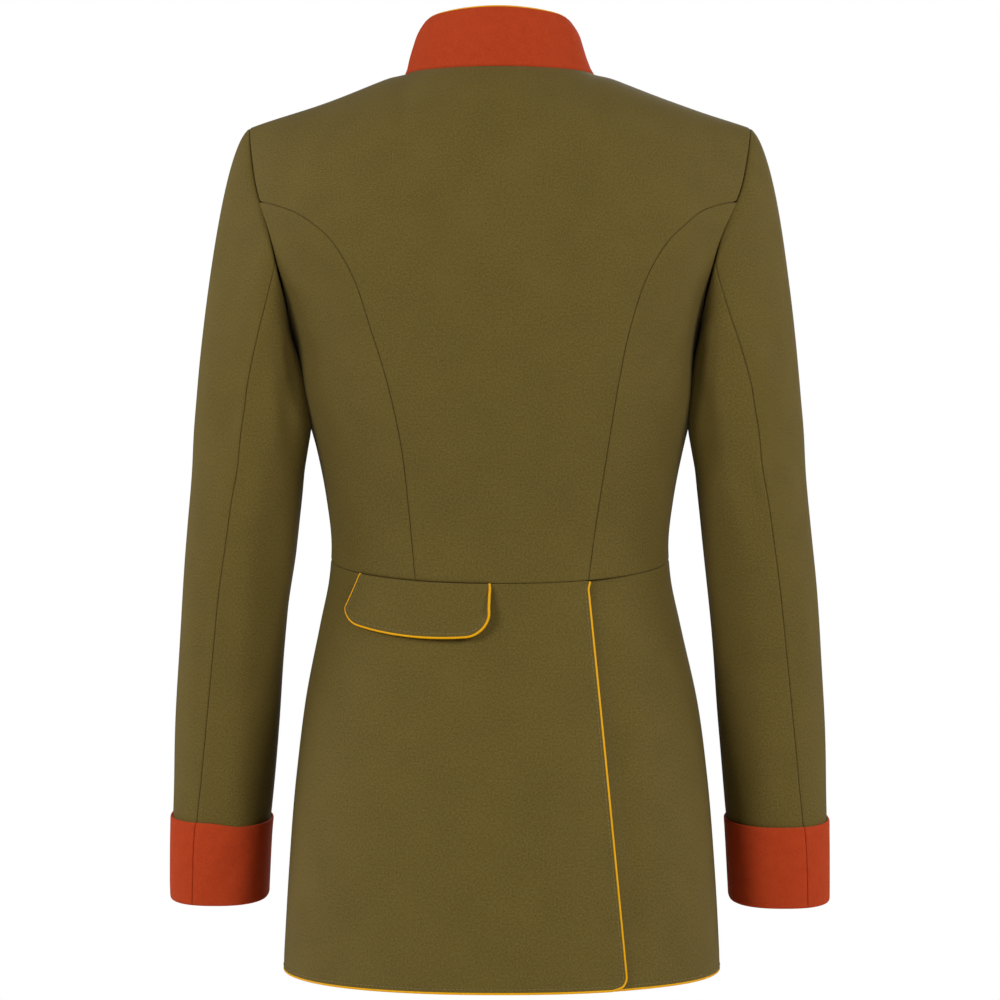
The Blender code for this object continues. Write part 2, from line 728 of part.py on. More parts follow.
def bodice_back(cloth_material, arm_rims, neck_rim):
    """Middle back between the princess seams, cut in one with no centre seam."""
    arm = [armhole_at(-k) for k in range(PRINCESS_STEP - 1, -1, -1)]
    right = princess_line(1) + arm
    left = [Vector((-p.x, p.y)) for p in princess_line(-1) + arm]
    shoulder = [shoulder_at(k / SHOULDER_COLUMNS, False) for k in range(SHOULDER_COLUMNS, 0, -1)]
    neck = [neck_at(1 - k / BACK_NECK_COLUMNS) for k in range(BACK_NECK_COLUMNS + 1)]
    half = shoulder + neck
    top = [Vector((-p.x, p.y)) for p in half] + half[-2::-1]
    columns = len(top) - 1
    bottom = back_waist(1, 2)
    outer, inward = on_torso(coons(bottom, top, left, right))
    for k in range(PRINCESS_STEP + 1):
        rim = arm_rims[-(PRINCESS_STEP - k)] if k < PRINCESS_STEP else arm_rims[0]
        inward[PRINCESS_ROWS + k][-1] = rim.copy()
        inward[PRINCESS_ROWS + k][0] = Vector((-rim.x, rim.y, rim.z))
    middle = columns // 2
    for k in range(BACK_NECK_COLUMNS + 1):
        rim = neck_rim[k]
        inward[-1][middle + k] = rim.copy()
        inward[-1][middle - k] = Vector((-rim.x, rim.y, rim.z))
    return wall("bodice_back", outer, inward, cloth_material)


def side_back_grid(arm_rims, side):
    """Side back as it lies on the right: princess seam, armhole, side seam and waist."""
    left = princess_line(side)
    right = side_seam(ARMHOLE_FOOT_Z, WAIST_SIDE_Z, PRINCESS_ROWS)
    steps = [-k for k in range(PRINCESS_STEP, ARMHOLE_STEPS // 2 + 1)]
    top = [armhole_at(step) for step in steps]
    stretch = back_waist(2, 3) if side > 0 else back_waist(0, 1)[::-1]
    bottom = [Vector((side * p.x, p.y)) for p in stretch]
    outer, inward = on_torso(coons(bottom, top, left, right))
    for i, step in enumerate(steps):
        inward[-1][i] = arm_rims[step % ARMHOLE_STEPS].copy()
    return outer, inward


def front_edge(reach):
    """(phi, z) samples of a front edge that passes centre front by reach, from waist to neck."""
    rows = PRINCESS_ROWS + ARMHOLE_STEPS // 2
    foot = waist_z(math.pi)
    edge = []
    for k in range(rows + 1):
        z = foot + (-FRONT_NECK_DROP - foot) * k / rows
        edge.append(Vector((2 * math.pi + phi_at(-reach, z, True), z)))
    return edge


def front_sink(point):
    """How far the under front lies below the upper one, by its distance from centre front."""
    return (SHELL_CLOTH + LAP_GAP) * ease(point.x, FRONT_LAP + 48, FRONT_LAP + 4)


def front_grid(arm_rims, neck_rim, sink=None):
    """Front of the right half, from the side seam to the lapped front edge."""
    half_steps = ARMHOLE_STEPS // 2
    side = side_seam(ARMHOLE_FOOT_Z, WAIST_SIDE_Z, PRINCESS_ROWS)
    left = side + [armhole_at(half_steps - k) for k in range(1, half_steps)]
    left.append(shoulder_at(1, True))
    right = front_edge(FRONT_LAP)
    shoulder = [shoulder_at(k / SHOULDER_COLUMNS, True) for k in range(SHOULDER_COLUMNS, -1, -1)]
    neck = [neck_at(1 + k / FRONT_NECK_COLUMNS) for k in range(1, FRONT_NECK_COLUMNS)]
    top = shoulder + neck + [Vector((math.pi, -FRONT_NECK_DROP)), right[-1]]
    columns = len(top) - 1
    first, last = math.pi / 2, right[0].x
    waist = [first + (last - first) * k / columns for k in range(columns + 1)]
    bottom = [Vector((phi, waist_z(phi))) for phi in waist]
    outer, inward = on_torso(coons(bottom, top, left, right), sink)
    for k in range(half_steps + 1):
        inward[PRINCESS_ROWS + k][0] = arm_rims[half_steps - k].copy()
    for k in range(FRONT_NECK_COLUMNS + 1):
        inward[-1][SHOULDER_COLUMNS + k] = neck_rim[BACK_NECK_COLUMNS + k].copy()
    return outer, inward


def skirt_shares():
    """Row shares from hem to waist, close together at the vent's corner and below the waist."""
    length = WAIST_SIDE_Z - HEM_Z
    near = [0.0, 0.3 * VENT_CORNER / length, VENT_CORNER / length]
    return near + [1 - (1 - k / SKIRT_ROWS) ** 1.5 for k in range(1, SKIRT_ROWS + 1)]


def skirt_grid(waist, edge_x=None, sink=None):
    """Skirt panel hung from (phi, z) waist samples. edge_x(z) sets where its last column runs."""
    shares = skirt_shares()
    plan = []
    for share in shares:
        row = []
        for top in waist:
            z = HEM_Z + (top.y - HEM_Z) * share
            row.append(Vector((top.x, z)))
        if edge_x:
            free = phi_at(edge_x(row[-1].y), row[-1].y, abs(waist[-1].x) > math.pi / 2)
            first, last = waist[0].x, waist[-1].x
            for p, top in zip(row, waist):
                p.x = first + (top.x - first) * (free - first) / (last - first)
        plan.append(row)
    return on_torso(plan, sink)


def back_waist(start, stop):
    """Waist samples of the back. Stretch 0 is the left side back, 1 the middle, 2 the right."""
    bounds = [-math.pi / 2] + [waist_at(princess_foot(side)).x for side in (-1, 1)] + [math.pi / 2]
    counts = [SIDE_BACK_COLUMNS, 2 * (SHOULDER_COLUMNS + BACK_NECK_COLUMNS), SIDE_BACK_COLUMNS]
    phis = [bounds[start]]
    for first, last, count in list(zip(bounds, bounds[1:], counts))[start:stop]:
        phis += [first + (last - first) * k / count for k in range(1, count + 1)]
    return [Vector((phi, waist_z(phi))) for phi in phis]


def under_vent_sink(point):
    """How far the under lap lies below the upper one beside the vent."""
    edge = princess_foot(1) + VENT_SLANT * (waist_at(princess_foot(1)).y - point.z)
    return (SHELL_CLOTH + LAP_GAP) * ease(point.x - edge, 46, 3)


def skirt_back_left():
    """The wide back skirt panel, from the left side seam to the piped vent edge."""
    return skirt_grid(back_waist(0, 2), vent_x)


def skirt_back_right():
    """The narrow back skirt panel, whose under lap runs in behind the vent edge."""
    waist = back_waist(2, 3)[::-1]
    inner = waist_at(princess_foot(1) - VENT_UNDERLAP)
    between = Vector(((waist[-1].x + inner.x) / 2, 0))
    between.y = waist_z(between.x)
    waist += [between, inner]

    def edge(z):
        return princess_foot(1) - VENT_UNDERLAP + VENT_SLANT * (waist[-1].y - z)

    return skirt_grid(waist, edge, under_vent_sink)


def skirt_front(sink=None):
    """Front skirt panel of the right half, from the side seam to the lapped front edge."""
    columns = SHOULDER_COLUMNS + FRONT_NECK_COLUMNS + 1
    first, last = math.pi / 2, front_edge(FRONT_LAP)[0].x
    phis = [first + (last - first) * k / columns for k in range(columns + 1)]
    waist = [Vector((phi, waist_z(phi))) for phi in phis]
    shares = skirt_shares()
    plan = []
    for share in shares:
        row = []
        for top in waist:
            z = HEM_Z + (top.y - HEM_Z) * share
            free = 2 * math.pi + phi_at(-FRONT_LAP, z, True)
            row.append(Vector((first + (top.x - first) * (free - first) / (last - first), z)))
        plan.append(row)
    return on_torso(plan, sink)


def edge_line(edge, inner, inward):
    """A cord's centre line just outside an edge. inner holds the next point into the cloth."""
    ways = into_sheet(edge, inner)
    return [p + i / 2 - w * (PIPING_RADIUS + SEAM_GAP) for p, i, w in zip(edge, inward, ways)]


def hem_line(outer, inward):
    """Centre line of the piping below a skirt panel's hem, from its first column to its last."""
    return edge_line(outer[0], outer[3], inward[0])


def vent_line(outer, inward):
    """Centre line of the piping from the hem round the vent's corner and up to the waist."""
    centre = outer[0][-1] + Vector((0, 0, VENT_CORNER))
    placed = []
    for row, ways in zip(outer[1:], inward[1:]):
        edge, into = row[-1], ways[-1]
        away = edge - centre if edge.z < centre.z else edge - row[-2]
        away -= into * (away.dot(into) / into.length_squared)
        placed.append(edge + into / 2 + away.normalized() * (PIPING_RADIUS + SEAM_GAP))
    placed[-1] += (placed[-2] - placed[-1]).normalized() * 2 * SEAM_GAP
    return placed


def flap_plan():
    """Rows of (x, depth below the waist seam, lift) over the pocket flap, top to bottom."""
    rows = []
    for j in range(FLAP_ROWS + 1):
        v = math.sin(0.5 * math.pi * j / FLAP_ROWS)
        row = []
        for i in range(FLAP_COLUMNS + 1):
            u = (1 - math.cos(math.pi * i / FLAP_COLUMNS)) / 2
            left = FLAP_LEFT_TOP_X + (FLAP_LEFT_FOOT_X - FLAP_LEFT_TOP_X) * v
            x = left + (FLAP_RIGHT_X - left) * u
            bow = 4 * u * (1 - u)
            foot = FLAP_LEFT_DEPTH + (FLAP_RIGHT_DEPTH - FLAP_LEFT_DEPTH) * u
            foot += (FLAP_MIDDLE_DEPTH - (FLAP_LEFT_DEPTH + FLAP_RIGHT_DEPTH) / 2) * bow
            for corner, gap in ((FLAP_LEFT_CORNER, x - left), (FLAP_RIGHT_CORNER, FLAP_RIGHT_X - x)):
                if gap < corner:
                    foot -= corner - math.sqrt(corner * corner - (corner - gap) ** 2)
            lift = (FLAP_LIFT_LEFT + (FLAP_LIFT_RIGHT - FLAP_LIFT_LEFT) * u * u) * v * v
            row.append((x, foot * v, lift))
        rows.append(row)
    return rows


def flap_grid():
    """The flap's outer points, moved out from the skirt panel below it, and the way inward."""
    outer, inward = [], []
    for row in flap_plan():
        points, ways = [], []
        for x, depth, lift in row:
            z = waist_at(x).y - SEAM_GAP - depth
            phi = phi_at(x, z)
            normal = torso_normal(phi, z)
            points.append(torso_point(phi, z) + normal * (FLAP_CLEARANCE + lift + FLAP_CLOTH))
            ways.append(-normal * FLAP_CLOTH)
        outer.append(points)
        inward.append(ways)
    return outer, inward


def flap_edge_line(outer, inward):
    """Centre line of the piping down the flap's left side, along its foot and up its right."""
    left = [(row[0], row[1], way[0]) for row, way in zip(outer[:-1], inward[:-1])]
    foot = list(zip(outer[-1], outer[-2], inward[-1]))
    right = [(row[-1], row[-2], way[-1]) for row, way in zip(outer[-2::-1], inward[-2::-1])]
    around = left + foot + right
    placed = []
    for k, (point, _, into) in enumerate(around):
        ahead = around[min(k + 1, len(around) - 1)][0] - around[max(k - 1, 0)][0]
        away = ahead.cross(-into).normalized()
        placed.append(point + into / 2 + away * (PIPING_RADIUS + SEAM_GAP))
    return placed


def cuff_grid():
    """The right cuff: a band outside the sleeve's end, seamed in line with the sleeve's back seam."""
    outer, inward = [], []
    steps = range(-SLEEVE_BACK_SEAM_STEP, ARMHOLE_STEPS - SLEEVE_BACK_SEAM_STEP + 1)
    for j in range(CUFF_ROWS + 1):
        z = CUFF_FOOT_Z + (CUFF_TOP_Z - CUFF_FOOT_Z) * j / CUFF_ROWS
        ring = [sleeve_ring(z, sleeve_angle(step % ARMHOLE_STEPS, z)) for step in steps]
        points, ways = [], []
        for k, place in enumerate(ring):
            around = ring[k + 1 if k < ARMHOLE_STEPS else 1] - ring[k - 1 if k else -2]
            out = around.cross(Vector((0, 0, 1))).normalized()
            points.append(place + out * (CUFF_GAP + CUFF_CLOTH))
            ways.append(-out * CUFF_CLOTH)
        outer.append(points)
        inward.append(ways)
    return outer, inward


def button(name, z, material):
    """A plain domed shank button, turned from its profile and set on the upper front."""
    seat = torso_point(math.pi, z)
    normal = torso_normal(math.pi, z)
    back = SHANK_HEIGHT
    profile = [(0, 0), (SHANK_RADIUS, 0), (SHANK_RADIUS, back), (BUTTON_RADIUS, back)]
    profile.append((BUTTON_RADIUS, back + BUTTON_RIM))
    for k in (1, 2):
        angle = math.radians(30 * k)
        height = back + BUTTON_RIM + (BUTTON_DOME - BUTTON_RIM) * math.sin(angle)
        profile.append((BUTTON_RADIUS * math.cos(angle), height))
    profile.append((0, back + BUTTON_DOME))
    bm = bmesh.new()
    verts = [bm.verts.new((r * MM, 0, h * MM)) for r, h in profile]
    edges = [bm.edges.new(pair) for pair in zip(verts, verts[1:])]
    bmesh.ops.spin(
        bm,
        geom=verts + edges,
        cent=(0, 0, 0),
        axis=(0, 0, 1),
        angle=2 * math.pi,
        steps=BUTTON_SIDES,
        use_merge=True,
    )
    bmesh.ops.remove_doubles(bm, verts=bm.verts[:], dist=1e-6)
    bmesh.ops.recalc_face_normals(bm, faces=bm.faces[:])
    made = finished(name, bm, material)
    made.location = (seat + normal * BUTTON_GAP) * MM
    made.rotation_euler = normal.to_track_quat("Z", "Y").to_euler()
    return made


# ---------------------------------------------------------------- the coat


def build():
    for old in list(bpy.data.objects):
        bpy.data.objects.remove(old)
    olive = cloth("olive_gabardine", (0.130, 0.088, 0.024), 0.85)
    rust = cloth("rust_wool", (0.445, 0.052, 0.016), 0.9)
    gold = cloth("gold_piping", (0.91, 0.36, 0.004), 0.6)
    brass = metal("brass_buttons", (0.42, 0.27, 0.09), 0.4)

    tube, tube_normals = sleeve_tube()
    arm_rims = armhole_rims(tube_normals)
    stand, stand_normals = collar_grid()
    neck_rim = neck_rims(stand_normals, SHELL_CLOTH)

    bodice_back(olive, arm_rims, neck_rim)
    wall("bodice_side_back_right", *side_back_grid(arm_rims, 1), olive)
    wall("bodice_side_back_left", *map(mirrored, side_back_grid(arm_rims, -1)), olive)
    wall("bodice_front_right", *front_grid(arm_rims, neck_rim), olive)
    wall("bodice_front_left", *map(mirrored, front_grid(arm_rims, neck_rim, front_sink)), olive)

    back_left, back_right = skirt_back_left(), skirt_back_right()
    front_right, front_left = skirt_front(), skirt_front(front_sink)
    front_left = tuple(map(mirrored, front_left))
    wall("skirt_back_left", *back_left, olive)
    wall("skirt_back_right", *back_right, olive)
    wall("skirt_front_right", *front_right, olive)
    wall("skirt_front_left", *front_left, olive)
    left_hem = hem_line(*front_left)[::-1] + hem_line(*back_left)[1:] + vent_line(*back_left)
    piping("hem_piping_left", left_hem, gold)
    piping("hem_piping_right", hem_line(*back_right)[::-1] + hem_line(*front_right)[1:], gold)

    back, front = SLEEVE_BACK_SEAM_STEP, SLEEVE_FRONT_SEAM_STEP
    spans = {
        "sleeve_top": [step % ARMHOLE_STEPS for step in range(-back, front + 1)],
        "sleeve_under": list(range(front, ARMHOLE_STEPS - back + 1)),
    }
    for piece, steps in spans.items():
        outer = [[row[s] for s in steps] for row in tube]
        inward = [[-row[s] * SHELL_CLOTH for s in steps] for row in tube_normals]
        inward[0] = [arm_rims[s].copy() for s in steps]
        wall(piece + "_right", outer, inward, olive)
        wall(piece + "_left", mirrored(outer), mirrored(inward), olive)

    cuff = cuff_grid()
    wall("cuff_right", *cuff, rust)
    wall("cuff_left", *map(mirrored, cuff), rust)

    inward = [[-n * COLLAR_CLOTH for n in row] for row in stand_normals]
    half = neck_rims(stand_normals, COLLAR_CLOTH)
    inward[0] = [Vector((-r.x, r.y, r.z)) for r in half[:0:-1]] + half
    wall("collar", stand, inward, rust)
    top = edge_line(stand[-1], stand[-2], inward[-1])
    for end, inner in ((0, 1), (-1, -2)):
        top[end] += (top[inner] - top[end]).normalized() * COLLAR_CORD_TRIM
    top = [p for a, b in zip(top, top[1:]) for p in (a, a.lerp(b, 0.5))] + top[-1:]
    piping("collar_piping", top, gold)

    flap = flap_grid()
    wall("pocket_flap", *flap, olive)
    piping("pocket_flap_piping", flap_edge_line(*flap), gold)

    for k in range(BUTTON_COUNT):
        z = BUTTON_TOP_Z + (BUTTON_FOOT_Z - BUTTON_TOP_Z) * k / (BUTTON_COUNT - 1)
        button(f"button_{k + 1}", z, brass)


build()
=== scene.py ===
"""Looks of the frock coat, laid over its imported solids.

The wearer faces +Y and +X is the wearer's right. Shapes are worked out in millimetres, and
MM turns them into metres when a mesh is made. The sections follow the coat as it is put
together: back, side backs, fronts, skirts, sleeves, cuffs, collar, flap, piping, buttons,
and last the studio.
"""

import math

import bmesh
import bpy
import numpy as np
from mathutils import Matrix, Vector


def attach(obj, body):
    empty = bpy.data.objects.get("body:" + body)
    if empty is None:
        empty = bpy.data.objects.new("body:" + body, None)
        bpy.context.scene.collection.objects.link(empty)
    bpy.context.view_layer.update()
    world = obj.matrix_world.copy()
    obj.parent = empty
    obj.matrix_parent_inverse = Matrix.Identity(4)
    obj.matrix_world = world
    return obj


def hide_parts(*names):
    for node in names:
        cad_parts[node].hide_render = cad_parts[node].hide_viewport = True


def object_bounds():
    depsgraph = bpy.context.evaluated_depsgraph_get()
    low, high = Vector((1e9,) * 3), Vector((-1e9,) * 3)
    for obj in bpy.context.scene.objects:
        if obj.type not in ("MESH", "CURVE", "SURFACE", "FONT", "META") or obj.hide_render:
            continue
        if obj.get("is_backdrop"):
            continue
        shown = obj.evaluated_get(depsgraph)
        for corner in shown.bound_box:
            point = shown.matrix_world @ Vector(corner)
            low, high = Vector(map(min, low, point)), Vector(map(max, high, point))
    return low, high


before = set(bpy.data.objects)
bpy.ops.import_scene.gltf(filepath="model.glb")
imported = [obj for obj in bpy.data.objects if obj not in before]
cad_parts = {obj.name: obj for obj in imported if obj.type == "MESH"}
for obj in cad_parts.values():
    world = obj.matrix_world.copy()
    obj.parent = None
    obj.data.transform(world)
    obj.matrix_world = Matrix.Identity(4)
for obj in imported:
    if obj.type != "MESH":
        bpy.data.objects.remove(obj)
cad_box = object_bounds()

# ---------------------------------------------------------------- middle back
# The middle back runs between the two princess seams and is cut in one, with no seam down
# its centre. It is a firm olive gabardine, sewn to the side backs, sleeves and collar with
# its seam allowances pressed open, so every seam shows as a fine soft valley.

MM = 0.001
CLOTH = 1.6
SEAM_GAP = 0.34
LAP_GAP = 1.2
NECK_HALF_WIDTH = 75.0
BACK_NECK_DROP = 2.0
FRONT_NECK_DROP = 75.0
NECK_SINK = 1.8
NECK_SINK_WIDTH = 9.0
SHOULDER_HALF_WIDTH = 200.0
SHOULDER_SLOPE = 0.362
SHOULDER_CREST = 30.0
SHOULDER_SAG = 2.0
SHOULDER_ROUND_HEIGHT = 110.0
SHOULDER_ROUND_POWER = 2.2
ARMHOLE_FOOT_Z = -215.0
ARMHOLE_FRONT_SCOOP = 5.0
ARMHOLE_STEPS = 24
UNDERARM_STEP = 12
PRINCESS_STEP = 5
PRINCESS_FOOT_X = 67.4
PRINCESS_SWAY = 3.7
WAIST_SIDE_Z = -388.0
WAIST_BACK_DIP = 17.5
WAIST_FRONT_DIP = 8.0
WAIST_DIP_POWER = 1.1
CUP_HEIGHT = 8.0
CUP_X = 82.0
CUP_Z = -236.0
CUP_SPREAD = 50.0
SKIRT_SHIFT = 1.4
ARM_TUCK = 2.1
LEFT_CUFF_LIFT = 3.4
LEFT_CUFF_RISE = 0.8
RIGHT_CUFF_DROP = 1.4
COLLAR_SHIFT = 1.6
MIRROR = np.array([-1, 1, 1])
FINE = 6  # samples to each step of the pattern's edges
CELL = 3.2  # cloth mesh spacing
NEAR_EDGE = (0.17, 0.45, 0.8, 1.25, 1.8, 2.6)  # closer samples by a seam
SEAM_ROLL = 0.75  # how deep cloth turns in at a seam
SEAM_ROLL_WIDTH = 2.2
EDGE_BLEND = 4.0  # how far in an edge's reach fades out
CREASE_FREE = 14.0  # how far in the creases come up to their full height
SHARP_ANGLE = 50.0
SMOOTHING_PASSES = 80
CURVE_SAMPLES = 24
# How far cloth turns in at an edge, as a share, and how far it reaches past the seam's line.
SEWN = (1.3, 0.08)
CLOSE = (1.3, 0.3)
PIPED = (0.3, 1.15)
TUCKED = (0.3, 1.1)

# Height, half width, depth behind and before the side seam, and fullness of the section.
TORSO = [
    (-740, 175, 149, 129, 2.2),
    (-715, 174, 146, 128, 2.2),
    (-640, 170.3, 135, 123, 2.2),
    (-560, 163.8, 122, 117, 2.2),
    (-500, 156.3, 109, 111, 2.2),
    (-440, 143.8, 94, 104, 2.2),
    (-402, 136.2, 87, 101, 2.2),
    (-378, 134.6, 87, 103, 2.2),
    (-340, 138.6, 93, 110, 2.2),
    (-300, 146.5, 102, 120, 2.25),
    (-257, 158.5, 111, 127, 2.3),
    (-215, 165.5, 116, 125, 2.35),
    (-185, 177, 118, 118, 2.4),
    (-156, 195, 118, 108, 2.4),
    (-110, 205.5, 115, 84, 2.4),
    (-75, 209.5, 111, 61, 2.4),
    (-44, 212, 107, 41, 2.4),
    (-4, 212, 101, 16, 2.4),
    (30, 212, 98, 8, 2.4),
]
# Height and distance out of the armhole's back edge.
ARMHOLE = [
    (-215, 165.5),
    (-185, 167.3),
    (-156, 173.3),
    (-128, 180.7),
    (-100, 190.5),
    (-70, 196.2),
    (-43, 200),
    (-30, 201.5),
]
# Height, and how much nearer the middle the right armhole lies than the left.
ARM_SHIFT = [
    (-400, 0),
    (-335, 0),
    (-300, 1),
    (-277, 3.2),
    (-257, 6.5),
    (-238, 8),
    (-181, 7.8),
    (-142, 7.2),
    (-104, 5.2),
    (-75, 3.8),
    (-46, 1.6),
    (0, 0),
]
# Distance out and height of the princess seams from above the waist to near the armhole.
PRINCESS = [
    (72.7, -356),
    (79.8, -302),
    (88.8, -253),
    (99.5, -211),
    (112.5, -171.5),
    (130, -141.5),
    (152.5, -122),
    (171, -113),
]


def column(keys, values):
    """A smooth function through one column of sizes."""
    gaps = np.diff(keys)
    slopes = np.diff(values) / gaps
    inner = (slopes[:-1] * gaps[1:] + slopes[1:] * gaps[:-1]) / (gaps[:-1] + gaps[1:])
    tangents = np.concatenate([slopes[:1], inner, slopes[-1:]])

    def read(at):
        at = np.clip(at, keys[0], keys[-1])
        i = np.clip(np.searchsorted(keys, at, side="right") - 1, 0, len(gaps) - 1)
        t = (at - keys[i]) / gaps[i]
        lean = gaps[i] * (tangents[i] * t * (1 - t) ** 2 - tangents[i + 1] * t * t * (1 - t))
        return values[i] + (values[i + 1] - values[i]) * t * t * (3 - 2 * t) + lean

    return read


def columns(table):
    """Smooth functions of a table's first column, one for each other column."""
    keys, *rest = np.array(table, float).T
    return [column(keys, values) for values in rest]


half_width, back_depth, front_depth, fullness = columns(TORSO)
(armhole_x,) = columns(ARMHOLE)
(arm_shift,) = columns(ARM_SHIFT)


def ease(value, low, high):
    """0 at low, 1 at high, smooth between. The ramps below name the places, in mm, where
    they start and end."""
    t = np.clip((value - low) / (high - low), 0, 1)
    return t * t * (3 - 2 * t)


def unit(vectors):
    """The same directions, one long."""
    return vectors / np.maximum(np.linalg.norm(vectors, axis=-1, keepdims=True), 1e-9)


def shoulder_line(x):
    """Height of the shoulder seam's ridge, which sags a little between neck and tip."""
    share = (abs(x) - NECK_HALF_WIDTH) / (SHOULDER_HALF_WIDTH - NECK_HALF_WIDTH)
    sag = SHOULDER_SAG * np.sin(np.pi * np.clip(share, 0, 1)) ** 2
    sag += NECK_SINK * np.exp(-(((abs(x) - NECK_HALF_WIDTH) / NECK_SINK_WIDTH) ** 2))
    crest = math.hypot(NECK_HALF_WIDTH, SHOULDER_CREST)
    return -SHOULDER_SLOPE * (np.hypot(x, SHOULDER_CREST) - crest) - sag


def bent(share, power):
    """A power that keeps the sign."""
    return np.sign(share) * np.abs(share) ** power


def torso(phi, z):
    """Point of the worn form. phi is 0 at centre back, a quarter turn at the side."""
    across, along = np.sin(phi), np.cos(phi)
    power = 2 / fullness(z)
    x = half_width(z) * bent(across, power)
    drop = np.clip((shoulder_line(x) - z) / SHOULDER_ROUND_HEIGHT, 0, 1)
    rounded = (1 - (1 - drop) ** SHOULDER_ROUND_POWER) ** (1 / SHOULDER_ROUND_POWER)
    depth = np.where(along > 0, back_depth(z), front_depth(z))
    y = -depth * bent(along, power) * rounded
    wide, high = (abs(x) - CUP_X) / CUP_SPREAD, (z - CUP_Z) / CUP_SPREAD
    cup = CUP_HEIGHT * np.exp(-0.5 * (wide * wide + high * high))
    y = y + cup * np.clip(-2 * along, 0, 1)
    return np.stack(np.broadcast_arrays(x, y, z), -1)


def torso_out(phi, z):
    """Outward direction of the worn form, away from the shoulder's ridge."""
    round_it = torso(phi + 0.01, z) - torso(phi - 0.01, z)
    return unit(np.cross(round_it, torso(phi, z + 0.5) - torso(phi, z - 0.5)))


def phi_at(x, z, front=False):
    """The turn at which the form has this x at this height."""
    phi = np.arcsin(np.minimum(abs(x) / half_width(z), 1) ** (fullness(z) / 2))
    return np.copysign(np.where(front, np.pi - phi, phi), x)


def waist_z(phi):
    """Height of the waist seam, which dips towards centre back and centre front."""
    dip = np.where(np.cos(phi) > 0, WAIST_BACK_DIP, WAIST_FRONT_DIP)
    return WAIST_SIDE_Z - dip * np.abs(np.cos(phi)) ** WAIST_DIP_POWER


def on_waist(phi):
    """(phi, z) of the waist seam at these turns."""
    return pairs(phi, waist_z(phi))


def waist_at(x):
    """(phi, z) of the waist seam's back at this x."""
    z = WAIST_SIDE_Z
    for _ in range(4):
        phi = phi_at(x, z)
        z = waist_z(phi)
    return phi, z


def pairs(phi, z):
    """(phi, z) points, or (step, rise) points, as one array."""
    return np.stack(np.broadcast_arrays(phi, z), -1).astype(float)


def grid_of(across, up):
    """Plan points over a grid of samples across and up a piece."""
    return pairs(across[None, :], up[:, None])


def spread(start, stop, steps):
    """Even samples over so many steps of the pattern."""
    return np.linspace(start, stop, steps * FINE + 1)


def armhole(steps, front):
    """(phi, z) along the armhole. Step 0 is the shoulder tip, and steps run down the front."""
    angle = 2 * np.pi * np.asarray(steps, float) / ARMHOLE_STEPS
    top = shoulder_line(SHOULDER_HALF_WIDTH)
    z = (top + ARMHOLE_FOOT_Z) / 2 + (top - ARMHOLE_FOOT_Z) / 2 * np.cos(angle)
    ahead = np.sin(angle) > 1e-9
    x = armhole_x(z) - np.where(ahead, ARMHOLE_FRONT_SCOOP * np.sin(angle) ** 2, 0)
    x = np.where(np.cos(angle) > 1 - 1e-9, SHOULDER_HALF_WIDTH, x)
    return pairs(phi_at(x, z, front), z)


def neckline(shares):
    """(phi, z) of the neckline: 0 at centre back, 1 at the neck point, 2 at centre front."""
    angle = np.asarray(shares, float) * np.pi / 2
    x, turn = NECK_HALF_WIDTH * np.sin(angle), np.cos(angle)
    behind = angle <= np.pi / 2 + 1e-9
    z = -np.where(behind, BACK_NECK_DROP, FRONT_NECK_DROP) * turn**2
    z = z - NECK_SINK * np.sin(angle) ** 2
    return pairs(np.where(behind, phi_at(x, 0), phi_at(x, z, True)), z)


def shoulder(shares, front):
    """(phi, z) of the shoulder seam, from the neck point (0) to the shoulder tip (1)."""
    x = NECK_HALF_WIDTH + shares * (SHOULDER_HALF_WIDTH - NECK_HALF_WIDTH)
    z = shoulder_line(x)
    return pairs(phi_at(x, z, front), z)


def princess_sway(z):
    """How far both princess seams lie towards the wearer's right."""
    return PRINCESS_SWAY * (ease(z, -195, -290) - 0.6 * ease(z, -310, -400))


def princess_foot(side):
    """x of a princess seam at the waist. side is 1 on the right, -1 on the left."""
    return side * PRINCESS_FOOT_X + princess_sway(WAIST_SIDE_Z - WAIST_BACK_DIP)


def through(points, count):
    """count + 1 points, evenly spaced along a smooth curve through the given points."""
    points = np.asarray(points, float)
    padded = np.concatenate([points[:1], points, points[-1:]])
    t = (np.arange(CURVE_SAMPLES) / CURVE_SAMPLES)[:, None]
    fine = []
    for before, a, b, after in zip(padded, padded[1:], padded[2:], padded[3:]):
        rise = t * t * (3 - 2 * t)
        lean = (b - before) * (0.5 * t * (1 - t) ** 2) - (after - a) * (0.5 * t * t * (1 - t))
        fine.append(a * (1 - rise) + b * rise + lean)
    return evenly(np.concatenate(fine + [points[-1:]]), count)


def evenly(line, count):
    """count + 1 points, evenly spaced along a line of points."""
    run = np.concatenate([[0], np.cumsum(np.linalg.norm(np.diff(line, axis=0), axis=1))])
    goals = np.linspace(0, run[-1], count + 1)
    return np.stack([np.interp(goals, run, line[:, k]) for k in range(line.shape[1])], -1)


def princess_line(side):
    """(phi, z) of a princess seam, waist to armhole, as if it lay on the right."""
    foot = torso(*waist_at(abs(princess_foot(side))))
    top = torso(*armhole(-PRINCESS_STEP, False))
    inner = [(x + side * princess_sway(z), z) for x, z in PRINCESS]
    line = through([foot[[0, 2]], *inner, top[[0, 2]]], 12 * FINE)
    return pairs(phi_at(line[:, 0], line[:, 1]), line[:, 1])


def back_waist(start, stop):
    """Waist seam of the back. Stretch 0 is the left side back, 1 the middle, 2 the right."""
    feet = [waist_at(princess_foot(side))[0] for side in (-1, 1)]
    bounds = [-np.pi / 2, *feet, np.pi / 2]
    phis = [bounds[start : start + 1]]
    for k in range(start, stop):
        phis.append(spread(bounds[k], bounds[k + 1], (7, 20, 7)[k])[1:])
    return on_waist(np.concatenate(phis))


